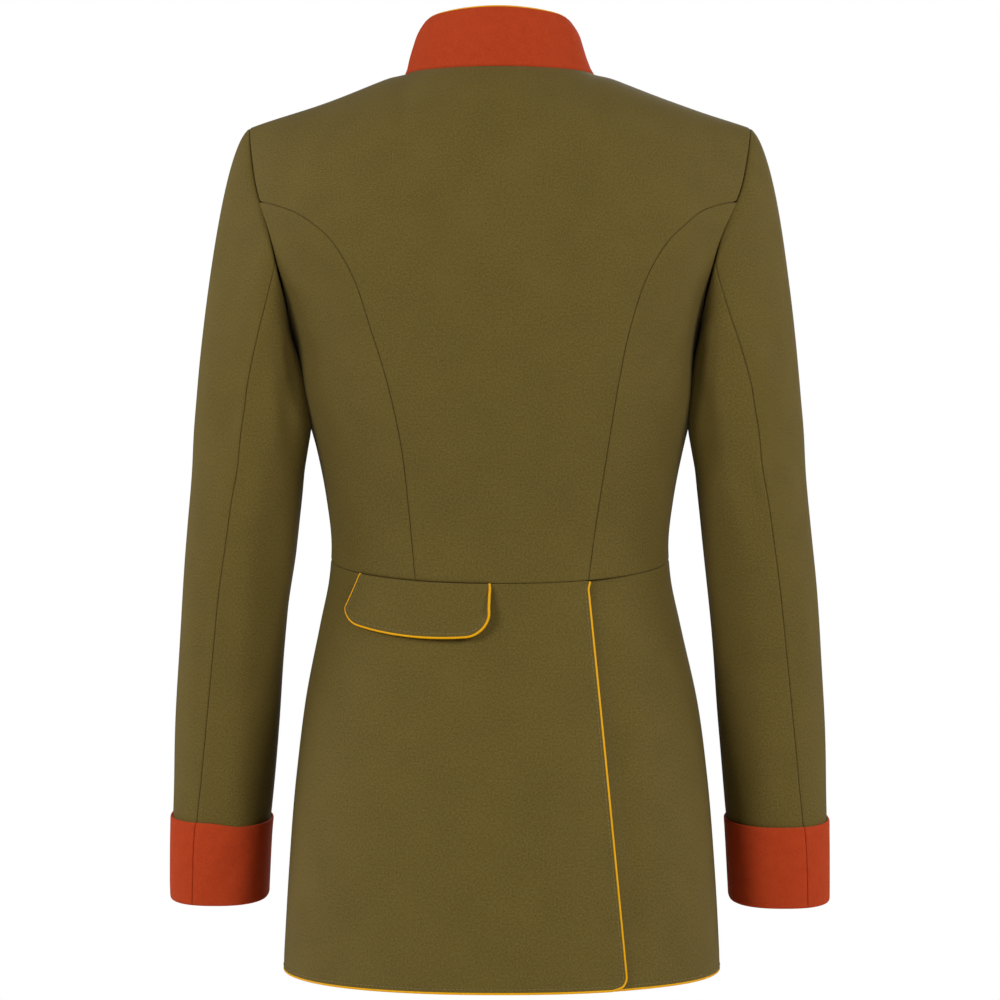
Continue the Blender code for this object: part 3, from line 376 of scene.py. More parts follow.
def coons(bottom, top, left, right):
    """A sheet of plan points between four edges, smoothed inside so that it doesn't fold."""
    u = np.linspace(0, 1, len(bottom))[None, :, None]
    v = np.linspace(0, 1, len(left))[:, None, None]
    ruled = bottom[None] * (1 - v) + top[None] * v + left[:, None] * (1 - u) + right[:, None] * u
    low, high = bottom[0] * (1 - u) + bottom[-1] * u, top[0] * (1 - u) + top[-1] * u
    plan = ruled - low * (1 - v) - high * v
    for _ in range(SMOOTHING_PASSES):
        across, along = plan[1:-1, 2:] + plan[1:-1, :-2], plan[2:, 1:-1] + plan[:-2, 1:-1]
        plan[1:-1, 1:-1] = (across + along) / 4
    return plan


def worn(points):
    """Where points lie as the coat is worn, for its two sides don't hang quite alike. The
    places of the ramps are measured on the photograph's outline."""
    x, z = points[..., 0], points[..., 2]
    past_skirt = ease(abs(x) - 150 + 0.115 * (z + 400), 0, 6)
    side = ease(x, 138, 172) * (1 - ease(x, 174, 204)) * arm_shift(z)
    upper_arm = ease(x, 212, 240) * ease(z, -60, -170) * (1 - ease(z, -300, -420))
    forearm = ease(-x, 0, 1) * past_skirt * (1 - ease(-x, 195, 235)) * ease(z, -380, -430)
    skirt = ease(abs(x), 122, 160) * (1 - past_skirt) * ease(z, -400, -540)
    moved = SKIRT_SHIFT * skirt - side - ARM_TUCK * (upper_arm + forearm)
    shifted = x + moved - COLLAR_SHIFT * ease(z, -8, 16)
    cuff_top = ease(-x, 200, 234) * ease(z, -560, -592) * (1 - ease(z, -602, -650))
    cuff_foot = past_skirt * ease(z, -602, -655) * np.where(x < 0, LEFT_CUFF_RISE, -RIGHT_CUFF_DROP)
    return np.stack([shifted, points[..., 1], z + LEFT_CUFF_LIFT * cuff_top + cuff_foot], -1)


def run_of(points, axis):
    """Distance along the sheet from its first row or column to each point."""
    steps = np.linalg.norm(np.diff(points, axis=axis), axis=-1)
    run = np.cumsum(steps, axis=axis)
    start = np.zeros_like(np.take(run, [0], axis=axis))
    return np.concatenate([start, run], axis=axis)


def length_of(line):
    """Length of a line of points."""
    return np.linalg.norm(np.diff(line, axis=0), axis=1).sum()


def respaced(plan, place, axis, cell):
    """The same sheet with its samples evenly spread along one axis, closer by both ends."""
    plan = np.moveaxis(plan, 1 - axis, 0)
    run = run_of(place(plan), 1)
    inner = max(4, math.ceil((run[:, -1].max() - 2 * NEAR_EDGE[-1]) / cell))
    rows = []
    for line, at in zip(plan, run):
        close = np.array(NEAR_EDGE) * min(1, at[-1] / (4 * NEAR_EDGE[-1]))
        middle = np.linspace(close[-1], at[-1] - close[-1], inner + 1)[1:-1]
        goals = np.concatenate([close, middle, at[-1] - close[::-1]])
        rows.append(np.stack([np.interp(goals, at, line[:, k]) for k in range(2)], -1))
    return np.moveaxis(np.array(rows), 0, 1 - axis)


def out_of(points):
    """Outward direction at each point of a sheet whose columns run round it, seen from outside."""
    return unit(np.cross(np.gradient(points, axis=1), np.gradient(points, axis=0)))


CREASE_START = (-0.2, 0.35)  # shares of its length over which a crease comes up
CREASE_END = (0.65, 1.2)  # and dies away


# Soft creases as ridges (+) and troughs (-) of the cloth, where the photograph or the cut
# has them: x and z of both ends, half width and height in mm, and the side it is on, which
# is -1 behind and 1 in front.
def creased(points, out, creases):
    """Height of the creases at each point."""
    height = np.zeros(points.shape[:-1])
    x, z = points[..., 0], points[..., 2]
    for x0, z0, x1, z1, wide, tall, facing in creases:
        ax, az = x1 - x0, z1 - z0
        share = ((x - x0) * ax + (z - z0) * az) / (ax * ax + az * az)
        near = np.clip(share, 0, 1)
        off = np.hypot(x - x0 - near * ax, z - z0 - near * az)
        past = np.exp(-0.5 * (off / wide) ** 2)
        fade = ease(share, *CREASE_START) * (1 - ease(share, *CREASE_END))
        height += tall * past * fade * (ease(out[..., 1] * facing, 0.1, 0.5) if facing else 1)
    return height


def both_sides(*creases):
    """The same creases on each side of the body."""
    return [(k * x0, z0, k * x1, z1, *rest) for x0, z0, x1, z1, *rest in creases for k in (-1, 1)]


def slack(points):
    """A slow, shallow unevenness that any worn cloth has, in waves 100 to 400 mm long."""
    x, y, z = points[..., 0], points[..., 1], points[..., 2]
    wave = np.sin(x / 31 + 1.3 * np.sin(z / 67)) * np.sin(z / 43 + y / 39 + 0.7)
    return 0.22 * wave + 0.14 * np.sin(x / 17 - z / 23 + 2 * np.sin(y / 29))


def sheet_mesh(name, outer, inner, uv, material):
    """A closed cloth wall over a grid of outer and inner points, with its flat cut as UVs."""
    rows, columns = outer.shape[:2]
    bm = bmesh.new()
    bmesh.ops.create_grid(bm, x_segments=columns - 1, y_segments=rows - 1, size=1)
    place = bm.verts.layers.int.new("place")
    for vert in bm.verts:
        j = round((vert.co.y + 1) / 2 * (rows - 1))
        vert[place] = j * columns + round((vert.co.x + 1) / 2 * (columns - 1))
    made = bmesh.ops.extrude_face_region(bm, geom=bm.faces[:], use_keep_orig=True)
    for vert in (v for v in made["geom"] if isinstance(v, bmesh.types.BMVert)):
        vert[place] += rows * columns
    mesh = bpy.data.meshes.new(name)
    bm.to_mesh(mesh)
    bm.free()
    at = np.empty(len(mesh.vertices), np.int32)
    mesh.attributes["place"].data.foreach_get("value", at)
    both = np.concatenate([outer.reshape(-1, 3), inner.reshape(-1, 3)])
    mesh.vertices.foreach_set("co", (both[at] * MM).ravel())
    layer = mesh.uv_layers.new(name="cut")
    corner = np.empty(len(mesh.loops), np.int32)
    mesh.loops.foreach_get("vertex_index", corner)
    flat = np.concatenate([uv.reshape(-1, 2)] * 2)[at[corner]]
    layer.data.foreach_set("uv", (flat * MM).ravel())
    mesh.attributes.remove(mesh.attributes["place"])
    bm = bmesh.new()
    bm.from_mesh(mesh)
    bpy.data.meshes.remove(mesh)
    return closed(name, bm, material)


def closed(name, bm, material):
    """An object of a closed form, its faces turned outwards."""
    bmesh.ops.recalc_face_normals(bm, faces=bm.faces[:])
    return finished(name, bm, material)


def finished(name, bm, material):
    """An object of a form, smooth but for its sharp edges."""
    mesh = bpy.data.meshes.new(name)
    bm.to_mesh(mesh)
    bm.free()
    mesh.shade_smooth()
    mesh.set_sharp_from_angle(angle=math.radians(SHARP_ANGLE))
    mesh.materials.append(material)
    made = bpy.data.objects.new(name, mesh)
    bpy.context.scene.collection.objects.link(made)
    return made


def srgb(text):
    """A hex colour as linear red, green, blue and alpha."""
    parts = [int(text[k : k + 2], 16) / 255 for k in (1, 3, 5)]
    return (*(c / 12.92 if c <= 0.04045 else ((c + 0.055) / 1.055) ** 2.4 for c in parts), 1)


def node(tree, kind, inputs=None, **settings):
    """Adds one node with its settings. Each input is a value or another node's output."""
    made = tree.nodes.new("ShaderNode" + kind)
    for key, value in settings.items():
        setattr(made, key, value)
    for key, value in (inputs or {}).items():
        if isinstance(value, bpy.types.NodeSocket):
            tree.links.new(value, made.inputs[key])
        else:
            made.inputs[key].default_value = value
    return made


def per_mm(pitch):
    """Wave Texture scale that repeats every pitch millimetres on coordinates in metres."""
    return 2 * math.pi / 20 / (pitch * MM)


def noise(tree, spot, scale, detail):
    """Uneven spots, about scale of them to the metre."""
    inputs = {"Vector": spot, "Scale": scale, "Detail": detail}
    return node(tree, "TexNoise", inputs).outputs["Fac"]


def new_material(name, plain):
    """A new material with plain numbers on its shader, with its node tree and shader."""
    made = bpy.data.materials.new(name)
    made.use_nodes = True
    shader = made.node_tree.nodes["Principled BSDF"]
    for socket, value in plain.items():
        shader.inputs[socket].default_value = value
    return made, made.node_tree, shader


def coloured(tree, shader, dark, light, tone, *patterns):
    """A colour between two for the shader, by a tone with weighted patterns added to it."""
    for pattern, weight in patterns:
        added = {0: pattern, 1: weight, 2: tone}
        tone = node(tree, "Math", added, operation="MULTIPLY_ADD").outputs[0]
    mixed = node(tree, "Mix", {0: tone, 6: srgb(dark), 7: srgb(light)}, data_type="RGBA")
    tree.links.new(mixed.outputs[2], shader.inputs["Base Color"])


def raised(tree, shader, height, strength, distance):
    """Fine relief for the shader, distance in metres."""
    bump = node(tree, "Bump", {"Height": height, "Strength": strength, "Distance": distance})
    tree.links.new(bump.outputs[0], shader.inputs["Normal"])


# Gabardine is a firm twill weave of hard-twisted yarn with a clear steep rib and a dry, matt
# face. The real ribs are about 0.5 mm apart, too fine to show, so they are drawn at 1.6 mm.
RIB_PITCH = 1.6
RIB_ANGLE = math.radians(63)
gabardine, tree, shader = new_material(
    "olive_gabardine_twill",
    {
        "Roughness": 0.82,
        "Specular IOR Level": 0.22,
        "Sheen Weight": 0.04,
        "Sheen Roughness": 0.5,
    },
)
cut_map = node(tree, "UVMap", uv_map="cut").outputs["UV"]
turned = node(tree, "Mapping", {"Vector": cut_map, "Rotation": (0, 0, -RIB_ANGLE)}).outputs[0]
twill = {"Vector": turned, "Scale": per_mm(RIB_PITCH), "Distortion": 0.9, "Detail": 1.5}
ribs = node(tree, "TexWave", twill, bands_direction="X").outputs["Fac"]
yarn, cloudy = noise(tree, cut_map, 620, 3), noise(tree, cut_map, 24, 3)
coloured(tree, shader, "#564717", "#7B6930", -0.36, (ribs, 0.12), (yarn, 1.3), (cloudy, 0.35))
relief = node(tree, "Math", {0: ribs, 1: 0.3, 2: yarn}, operation="MULTIPLY_ADD").outputs[0]
raised(tree, shader, relief, 0.35, 0.00015)


def on_torso(plan):
    """Plan points are (phi, z)."""
    return torso(plan[..., 0], plan[..., 1])


def turned_over(line):
    """The same edge on the left of the body."""
    return line * MIRROR[:2]


def cloth_piece(
    name,
    plan,
    place=on_torso,
    material=gabardine,
    mirror=False,
    thickness=CLOTH,
    creases=(),
    sink=None,
    swell=None,
    cell=CELL,
    edges=(SEWN, SEWN, SEWN, SEWN),
):
    """One cut piece of cloth: its mesh on the worn form, set in place of its node, with its
    flat cut as UVs in metres. edges are its left, right, bottom and top."""
    for axis in (1, 0):
        plan = respaced(plan, place, axis, cell)
    points = place(plan)
    out = out_of(points)
    across, up = run_of(points, 1), run_of(points, 0)
    to_edge = [across, across[:, -1:] - across, up, up[-1:] - up]
    way_x, way_z = (unit(np.gradient(points, axis=axis)) for axis in (1, 0))
    slant = (way_x * way_z).sum(-1, keepdims=True)
    way_x, way_z = unit(way_x - way_z * slant), unit(way_z - way_x * slant)
    moved = np.zeros_like(points)
    for distance, way, (_, reach) in zip(to_edge, (-way_x, way_x, -way_z, way_z), edges):
        there = np.maximum(0, (moved * way).sum(-1))
        push = np.maximum(0, reach * (1 - ease(distance, 0, EDGE_BLEND)) - there)
        moved = moved + way * push[..., None]
    points = points + moved
    height = np.zeros(points.shape[:-1])
    if sink is not None:
        height -= sink(points)
    if swell is not None:
        height += swell(points, out, up)
    shown = points * MIRROR if mirror else points
    free = np.minimum.reduce(to_edge)
    height += (creased(shown, out, creases) + slack(shown)) * ease(free, 0, CREASE_FREE)
    roll = np.zeros_like(height)
    for distance, (depth, _) in zip(to_edge, edges):
        t = np.clip(1 - distance / SEAM_ROLL_WIDTH, 0, 1)
        roll = np.maximum(roll, depth * SEAM_ROLL * (1 - np.sqrt(1 - t * t)))
    body = points + out * height[..., None]
    outer, inner = body - out * roll[..., None], body - out * thickness
    uv = np.stack([across - across[:, across.shape[1] // 2, None], up], -1)
    if mirror:
        outer, inner = (side[:, ::-1] * MIRROR for side in (outer, inner))
        uv = turned_over(uv[:, ::-1])
    piece = sheet_mesh(name + "_cloth", worn(outer), worn(inner), uv, material)
    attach(piece, "root")
    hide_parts(name)


BACK_CREASES = [
    (-60, -300, -66, -382, 13, -0.5, -1),
    (62, -300, 68, -382, 13, -0.5, -1),
    (-150, -95, -118, -150, 16, -0.9, -1),
    (148, -95, 116, -150, 16, -0.9, -1),
    (-40, -372, 40, -378, 9, -0.5, -1),
]
arm_edge = armhole(-spread(PRINCESS_STEP, 0, PRINCESS_STEP), False)[1:]
right_edge = np.concatenate([princess_line(1), arm_edge])
left_edge = turned_over(np.concatenate([princess_line(-1), arm_edge]))
half_top = np.concatenate([shoulder(spread(1, 0, 6), False)[:-1], neckline(spread(1, 0, 4))])
back_top = np.concatenate([turned_over(half_top), half_top[-2::-1]])
back_plan = coons(back_waist(1, 2), back_top, left_edge, right_edge)
cloth_piece("bodice_back", back_plan, creases=BACK_CREASES)

# ---------------------------------------------------------------- side backs
# Each side back runs from the princess seam round to the side seam and up to the armhole.
# It is cut from the same gabardine and shapes the waist.

SIDE_CREASES = [
    *both_sides((128, -352, 106, -398, 10, -0.9, -1), (136, -318, 96, -350, 9, 0.5, -1)),
    (-150, -236, -112, -262, 12, -0.6, -1),
    (144, -236, 108, -262, 12, -0.6, -1),
]
side_seam = pairs(np.pi / 2, spread(WAIST_SIDE_Z, ARMHOLE_FOOT_Z, 12))
for side, word in ((1, "right"), (-1, "left")):
    top = armhole(-spread(PRINCESS_STEP, UNDERARM_STEP, 7), False)
    foot = back_waist(2, 3) if side > 0 else turned_over(back_waist(0, 1)[::-1])
    cloth_piece(
        "bodice_side_back_" + word,
        coons(foot, top, princess_line(side), side_seam),
        mirror=side < 0,
        creases=SIDE_CREASES,
        edges=(SEWN, SEWN, SEWN, TUCKED),
    )

# ---------------------------------------------------------------- fronts
# The fronts don't show in the photograph, so they are finished plainly: one piece a side,
# shaped by a waist dart, and lapped right over left under the buttons.

FRONT_LAP = 18.0
FRONT_RAMP = (66.0, 22.0)  # x where the under front starts to sink and where it lies under
FRONT_CREASES = [
    *both_sides((90, -262, 72, -392, 4, -1.0, 1), (128, -340, 98, -372, 10, -0.8, 1)),
    (-164, -150, -128, -196, 14, -1.1, 1),
    (158, -150, 124, -196, 14, -1.1, 1),
]


def front_edge(z):
    """(phi, z) of a front edge, which passes centre front by the lap."""
    return pairs(2 * np.pi + phi_at(-FRONT_LAP, z, True), z)


def front_sink(points):
    """How far the under front lies below the upper one."""
    return (CLOTH + LAP_GAP) * ease(points[..., 0], *FRONT_RAMP)


front_armhole = armhole(spread(UNDERARM_STEP, 0, 12)[1:-1], True)
front_left_edge = np.concatenate([side_seam, front_armhole, shoulder(np.ones(1), True)])
front_right_edge = front_edge(spread(waist_z(np.pi), -FRONT_NECK_DROP, 24))
front_neck = neckline(1 + spread(0, 1, 5)[1:])
lap_top = spread(front_neck[-1], front_right_edge[-1], 1)[1:]
front_top = np.concatenate([shoulder(spread(1, 0, 6), True), front_neck, lap_top])
front_waist = on_waist(spread(np.pi / 2, front_right_edge[0, 0], 12))
front_plan = coons(front_waist, front_top, front_left_edge, front_right_edge)
for word, sink in (("right", None), ("left", front_sink)):
    cloth_piece(
        "bodice_front_" + word,
        front_plan,
        mirror=word == "left",
        creases=FRONT_CREASES,
        sink=sink,
        edges=(CLOSE, SEWN, SEWN, SEWN),
    )

# ---------------------------------------------------------------- back skirt
# The wide left panel laps over the narrow right one. Its free edge is the piped vent, which
# opens from the waist down a little right of centre. Both panels hang from the waist seam.

HEM_Z = -711.7
VENT_SLANT = 0.0947
VENT_INSET = 2.2
VENT_CORNER = 9.0
VENT_UNDERLAP = 34.0
VENT_RAMP = (46.0, 3.0)  # how far past the vent's edge the under lap starts to sink and ends
SKIRT_SAMPLES = 100
CORNER_ROWS = 16


def vent_x(z):
    """Edge of the upper lap, rounded off at the hem."""
    below = waist_at(princess_foot(1))[1] - z
    straight = princess_foot(1) + VENT_SLANT * below - VENT_INSET * ease(below, 0, 6)
    low = np.clip(VENT_CORNER - (z - HEM_Z), 0, VENT_CORNER) / VENT_CORNER
    return straight - VENT_CORNER * (1 - np.sqrt(np.maximum(0, 1 - low * low)))


def vent_sink(points):
    """How far the under lap lies below the upper one beside the vent."""
    start = waist_at(princess_foot(1))[1]
    edge = princess_foot(1) + VENT_SLANT * (start - points[..., 2])
    return (CLOTH + LAP_GAP) * ease(points[..., 0] - edge, *VENT_RAMP)


def skirt_plan(waist, free_edge):
    """Panel hung from (phi, z) waist samples. free_edge(z) gives its last column's phi."""
    near_hem = np.linspace(0, VENT_CORNER, CORNER_ROWS)[:-1] / (WAIST_SIDE_Z - HEM_Z)
    shares = np.concatenate([near_hem, np.linspace(near_hem[-1], 1, SKIRT_SAMPLES + 1)[1:]])
    z = HEM_Z + (waist[None, :, 1] - HEM_Z) * shares[:, None]
    first, last = waist[0, 0], waist[-1, 0]
    widening = (free_edge(z[:, -1:]) - first) / (last - first)
    return pairs(first + (waist[None, :, 0] - first) * widening, z)


UNDER_VENT_CREASES = [
    (80, -400, 109, -705, 6, -2.4, -1),
    (102, -430, 128, -700, 10, 0.9, -1),
    (110, -396, 132, -430, 12, -0.8, -1),
    (128, -430, 150, -690, 20, -0.8, -1),
]
SKIRT_CREASES = [
    (-120, -440, -146, -700, 24, 1.2, -1),
    (-60, -480, -74, -704, 26, -1.0, -1),
    (20, -500, 26, -706, 26, 0.9, -1),
    *both_sides((110, -396, 132, -430, 12, -0.8, -1)),
]
back_left_plan = skirt_plan(back_waist(0, 2), lambda z: phi_at(vent_x(z), z))
cloth_piece(
    "skirt_back_left",
    back_left_plan,
    creases=SKIRT_CREASES,
    edges=(SEWN, PIPED, PIPED, SEWN),
)
under_x = princess_foot(1) - VENT_UNDERLAP
under_phi, under_z = waist_at(under_x)
under_waist = back_waist(2, 3)[::-1]
under_lap = on_waist(spread(under_waist[-1, 0], under_phi, 2)[1:])
back_right_plan = skirt_plan(
    np.concatenate([under_waist, under_lap]),
    lambda z: phi_at(under_x + VENT_SLANT * (under_z - z), z),
)[:, ::-1]
cloth_piece(
    "skirt_back_right",
    back_right_plan,
    creases=UNDER_VENT_CREASES,
    sink=vent_sink,
    edges=(SEWN, SEWN, PIPED, SEWN),
)

# ---------------------------------------------------------------- front skirt
# The front skirt panels are hidden too. They hang from the front waist seam and lap like the
# fronts, right over left, down to the hem.

FRONT_SKIRT_CREASES = both_sides(
    (70, -450, 86, -704, 24, 1.3, 1), (128, -430, 146, -700, 22, -1.0, 1)
)
front_skirt = skirt_plan(front_waist, lambda z: front_edge(z)[..., 0])
for word, sink in (("right", None), ("left", front_sink)):
    cloth_piece(
        "skirt_front_" + word,
        front_skirt,
        mirror=word == "left",
        creases=FRONT_SKIRT_CREASES,
        sink=sink,
        edges=(SEWN, SEWN, PIPED, SEWN),
    )

# ---------------------------------------------------------------- sleeves
# Two-piece sleeves: a top sleeve outside and an under sleeve inside, with a seam behind and
# one in front. They are set into the armhole with a little ease and hang slightly forward.

SLEEVE_BACK_SEAM_STEP = 7
SLEEVE_FRONT_SEAM_STEP = 8
SLEEVE_END_Z = -659.0
SLEEVE_TILT = 5.0
SLEEVE_HUG = 0.35
SLEEVE_SQUARE = 0.2
FRONT_SEAM_ANGLE = 115.0
# Height, inner and outer side, back and front, and the back seam's angle.
SLEEVE = [
    (-661, 187.3, 264.5, -13, 80, 293.9),
    (-598, 183.2, 264, -19.5, 75.5, 293.1),
    (-583, 181.5, 263.6, -21, 74, 293.6),
    (-521, 175.6, 261.2, -31, 66, 290),
    (-461, 170.9, 257.3, -42, 59, 286),
    (-401, 165, 252.6, -52, 54.5, 283),
    (-361, 160.4, 249.3, -56, 53, 280.5),
    (-321, 156.2, 246.2, -58, 54, 278.5),
    (-285, 153.9, 244.4, -60, 56, 282),
    (-257, 161.2, 242, -62, 58, 278),
]
SLEEVE_TOP_Z = SLEEVE[-1][0]
sleeve_inner, sleeve_outer, sleeve_back, sleeve_front, sleeve_seam = columns(SLEEVE)


def sleeve_ring(z, angle):
    """Point of the sleeve below its cap. angle is 0 on the outer side and 90 at the front."""
    turn = np.radians(angle)
    power = 1 - SLEEVE_SQUARE * ease(z, -560, -625)
    across, along = bent(np.cos(turn), power), bent(np.sin(turn), power)
    width, depth = sleeve_outer(z) - sleeve_inner(z), sleeve_front(z) - sleeve_back(z)
    off_centre = depth / 2 * along
    x = (sleeve_outer(z) + sleeve_inner(z)) / 2 + width / 2 * across
    x = x + SLEEVE_HUG * off_centre * (1 - np.cos(turn)) / 2 * ease(z, -345, -262)
    y = (sleeve_back(z) + sleeve_front(z)) / 2 + off_centre
    tilt = np.radians(SLEEVE_TILT) * ease(z, -400, -520)
    return np.stack(np.broadcast_arrays(x, y, z + off_centre * np.tan(tilt)), -1)


def sleeve_angle(step, z):
    """Angle of an armhole step's thread line at this height."""
    top_steps = SLEEVE_BACK_SEAM_STEP + SLEEVE_FRONT_SEAM_STEP
    from_back = step + SLEEVE_BACK_SEAM_STEP
    seam = sleeve_seam(z) - 360
    over = seam + (FRONT_SEAM_ANGLE - seam) * from_back / top_steps
    share = (from_back - top_steps) / (ARMHOLE_STEPS - top_steps)
    under = FRONT_SEAM_ANGLE + (seam + 360 - FRONT_SEAM_ANGLE) * share
    return np.where(from_back <= top_steps + 1e-9, over, under)


def cap_point(step, share):
    """Point of the cap: a curve from the armhole's edge (0) down to the first ring (1). How
    far it leaves and arrives, in mm, is set after the sleeve heads in the photograph."""
    edge = armhole(step, np.sin(2 * np.pi * step / ARMHOLE_STEPS) > 1e-9)
    start = torso(edge[..., 0], edge[..., 1])
    end = sleeve_ring(SLEEVE_TOP_Z, sleeve_angle(step, SLEEVE_TOP_Z))
    angle = 2 * np.pi * step / ARMHOLE_STEPS
    up, ahead = np.cos(angle), np.sin(angle)
    side = ahead**4
    behind = np.where(ahead < 0, side, 0)
    tucked = 10 * np.clip(-ahead, 0, 1) * np.clip(-up, 0, 1)
    x_leave = 12 + 6 * up - 7 * side - behind - tucked
    leave = start + np.stack([x_leave, 4 * ahead, -7.5 - 4.5 * up - 9 * side], -1)
    arrive = end + np.stack([-2.5 - 4.5 * up - 6 * behind, 0 * up, 53 + 37 * up], -1)
    t = share[..., None]
    curve = start * (1 - t) ** 3 + leave * (3 * (1 - t) ** 2 * t)
    return curve + arrive * (3 * (1 - t) * t**2) + end * t**3


def on_sleeve(plan):
    """Plan points are (step, rise): 1 at the armhole, 0 where the cap ends, -1 at the wrist."""
    step, rise = plan[..., 0], plan[..., 1]
    z = SLEEVE_TOP_Z + (SLEEVE_END_Z - SLEEVE_TOP_Z) * np.clip(-rise, 0, 1)
    below = sleeve_ring(z, sleeve_angle(step, z))
    above = cap_point(step, np.clip(1 - rise, 0, 1))
    return np.where((rise > 0)[..., None], above, below)


SLEEVE_CREASES = [
    (-174, -310, -187, -640, 10, -2.8, -1),
    (-194, -300, -206, -640, 11, 1.5, -1),
    (180, -400, 200, -640, 11, -1.8, -1),
    (-226, -120, -240, -300, 9, 1.7, -1),
    (-240, -300, -246, -560, 8, 1.4, -1),
    (-206, -150, -214, -330, 13, -1.6, -1),
    (-176, -250, -186, -350, 10, -1.3, -1),
    (196, -204, 222, -222, 8, -2.0, -1),
    (188, -228, 216, -250, 8, 1.2, -1),
    (170, -290, 214, -352, 13, -2.9, -1),
    (176, -262, 206, -300, 11, 1.7, -1),
    (172, -330, 202, -378, 10, 1.6, -1),
    (232, -120, 246, -330, 12, 1.2, -1),
    (196, -452, 224, -500, 14, -1.3, -1),
    (210, -540, 240, -585, 14, -1.2, -1),
    (-216, -470, -196, -520, 15, -1.0, -1),
    (-232, -430, -248, -600, 12, -0.9, -1),
    *both_sides(
        (186, -330, 236, -352, 12, -2.3, 1),
        (190, -372, 238, -390, 11, -1.7, 1),
        (192, -230, 226, -262, 12, -1.6, 1),
    ),
]


def sleeve_swell(points, out, up):
    """Fullness where the sleeve lies on the body below the underarm, and behind it the deep
    fold and the sunk armhole seam that set the sleeve off from the back."""
    x, z, behind = points[..., 0], points[..., 2], -out[..., 1]
    near = (1 - ease(z, -238, -192)) * (1 - ease(z, -256, -300))
    full = 4.2 * near * ease(-out[..., 0], 0.5, 0.85)
    fold = -6.5 * np.exp(-0.5 * ((x - 163) / 5.5) ** 2) * ease(z, -206, -226)
    fold = fold * (1 - ease(z, -290, -335)) * ease(behind, 0.15, 0.45)
    seam = -(0.8 * ease(z, -40, -70) + 1.8 * ease(z, -108, -128)) * ease(behind, 0, 0.3)
    seam = seam * np.exp(-(((up[-1:] - up) / 4) ** 2)) * ease(points[..., 1], 5, -15)
    return full + fold + seam


SLEEVE_SPANS = {
    "sleeve_top": (-SLEEVE_BACK_SEAM_STEP, SLEEVE_FRONT_SEAM_STEP, (0.250, 0.640, 0.098)),
    "sleeve_under": (
        SLEEVE_FRONT_SEAM_STEP,
        ARMHOLE_STEPS - SLEEVE_BACK_SEAM_STEP,
        (0.160, 0.520, 0.065),
    ),
}
for piece, (first, last, cut) in SLEEVE_SPANS.items():
    rises = np.concatenate([spread(-1, 0, 20)[:-1], spread(0, 1, 10)])
    sleeve_plan = grid_of(spread(first, last, last - first), rises)
    for word in ("right", "left"):
        cloth_piece(
            f"{piece}_{word}",
            sleeve_plan,
            on_sleeve,
            mirror=word == "left",
            creases=SLEEVE_CREASES,
            swell=sleeve_swell,
            edges=(SEWN, SEWN, SEWN, TUCKED if piece == "sleeve_under" else SEWN),
        )

# ---------------------------------------------------------------- cuffs
# Each cuff is a band of rust wool, seamed once at the back in line with the sleeve's seam and
# turned up outside the sleeve's end.

CUFF_TOP_Z = -597.0
CUFF_FOOT_Z = -661.0
CUFF_GAP = 0.5
CUFF_CLOTH = 1.6

# Melton is a woven wool felted until the weave is hidden under a short dense nap, so it looks
# soft and slightly fuzzy, with a warm bloom at the edges. The nap is drawn at about 1.5 mm.
melton, tree, shader = new_material(
    "rust_wool_melton",
    {
        "Roughness": 0.95,
        "Specular IOR Level": 0.2,
        "Sheen Weight": 0.15,
        "Sheen Roughness": 0.4,
        "Sheen Tint": srgb("#E58A60"),
    },
)
cut_map = node(tree, "UVMap", uv_map="cut").outputs["UV"]
nap, felted = noise(tree, cut_map, 640, 5), noise(tree, cut_map, 120, 3)
coloured(tree, shader, "#AC3312", "#CE4E22", -0.1, (nap, 0.8), (felted, 0.4))
raised(tree, shader, nap, 0.5, 0.0003)


def on_cuff(plan):
    """Plan points are (step, z) on the band outside the sleeve."""
    step, z = plan[..., 0], plan[..., 1]
    step = np.clip(step, -SLEEVE_BACK_SEAM_STEP, ARMHOLE_STEPS - SLEEVE_BACK_SEAM_STEP)
    ring = sleeve_ring(z, sleeve_angle(step, z))
    turn = np.radians(sleeve_angle(step, z))
    width, depth = sleeve_outer(z) - sleeve_inner(z), sleeve_front(z) - sleeve_back(z)
    power = 1 + SLEEVE_SQUARE * ease(z, -560, -625)
    across, along = bent(np.cos(turn), power), bent(np.sin(turn), power)
    out = unit(np.stack([depth * across, width * along, 0 * z], -1))
    return ring + out * (CUFF_GAP + CUFF_CLOTH)


CUFF_CREASES = [
    (-221, -655, -203, -616, 7, -1.5, -1),
    (-234, -642, -215, -604, 8, 0.8, -1),
    (206, -652, 226, -618, 8, -0.9, -1),
]
cuff_steps = spread(0, ARMHOLE_STEPS, ARMHOLE_STEPS) - SLEEVE_BACK_SEAM_STEP
cuff_plan = grid_of(cuff_steps, spread(CUFF_FOOT_Z, CUFF_TOP_Z, 2))
for word in ("right", "left"):
    cloth_piece(
        "cuff_" + word,
        cuff_plan,
        on_cuff,
        melton,
        mirror=word == "left",
        thickness=CUFF_CLOTH,
        creases=CUFF_CREASES,
    )

# ---------------------------------------------------------------- collar
# The stand collar is two layers of rust wool over a stiff interlining, so it holds its shape
# and leans in towards the neck. It is sewn round the neckline and hooked at centre front.

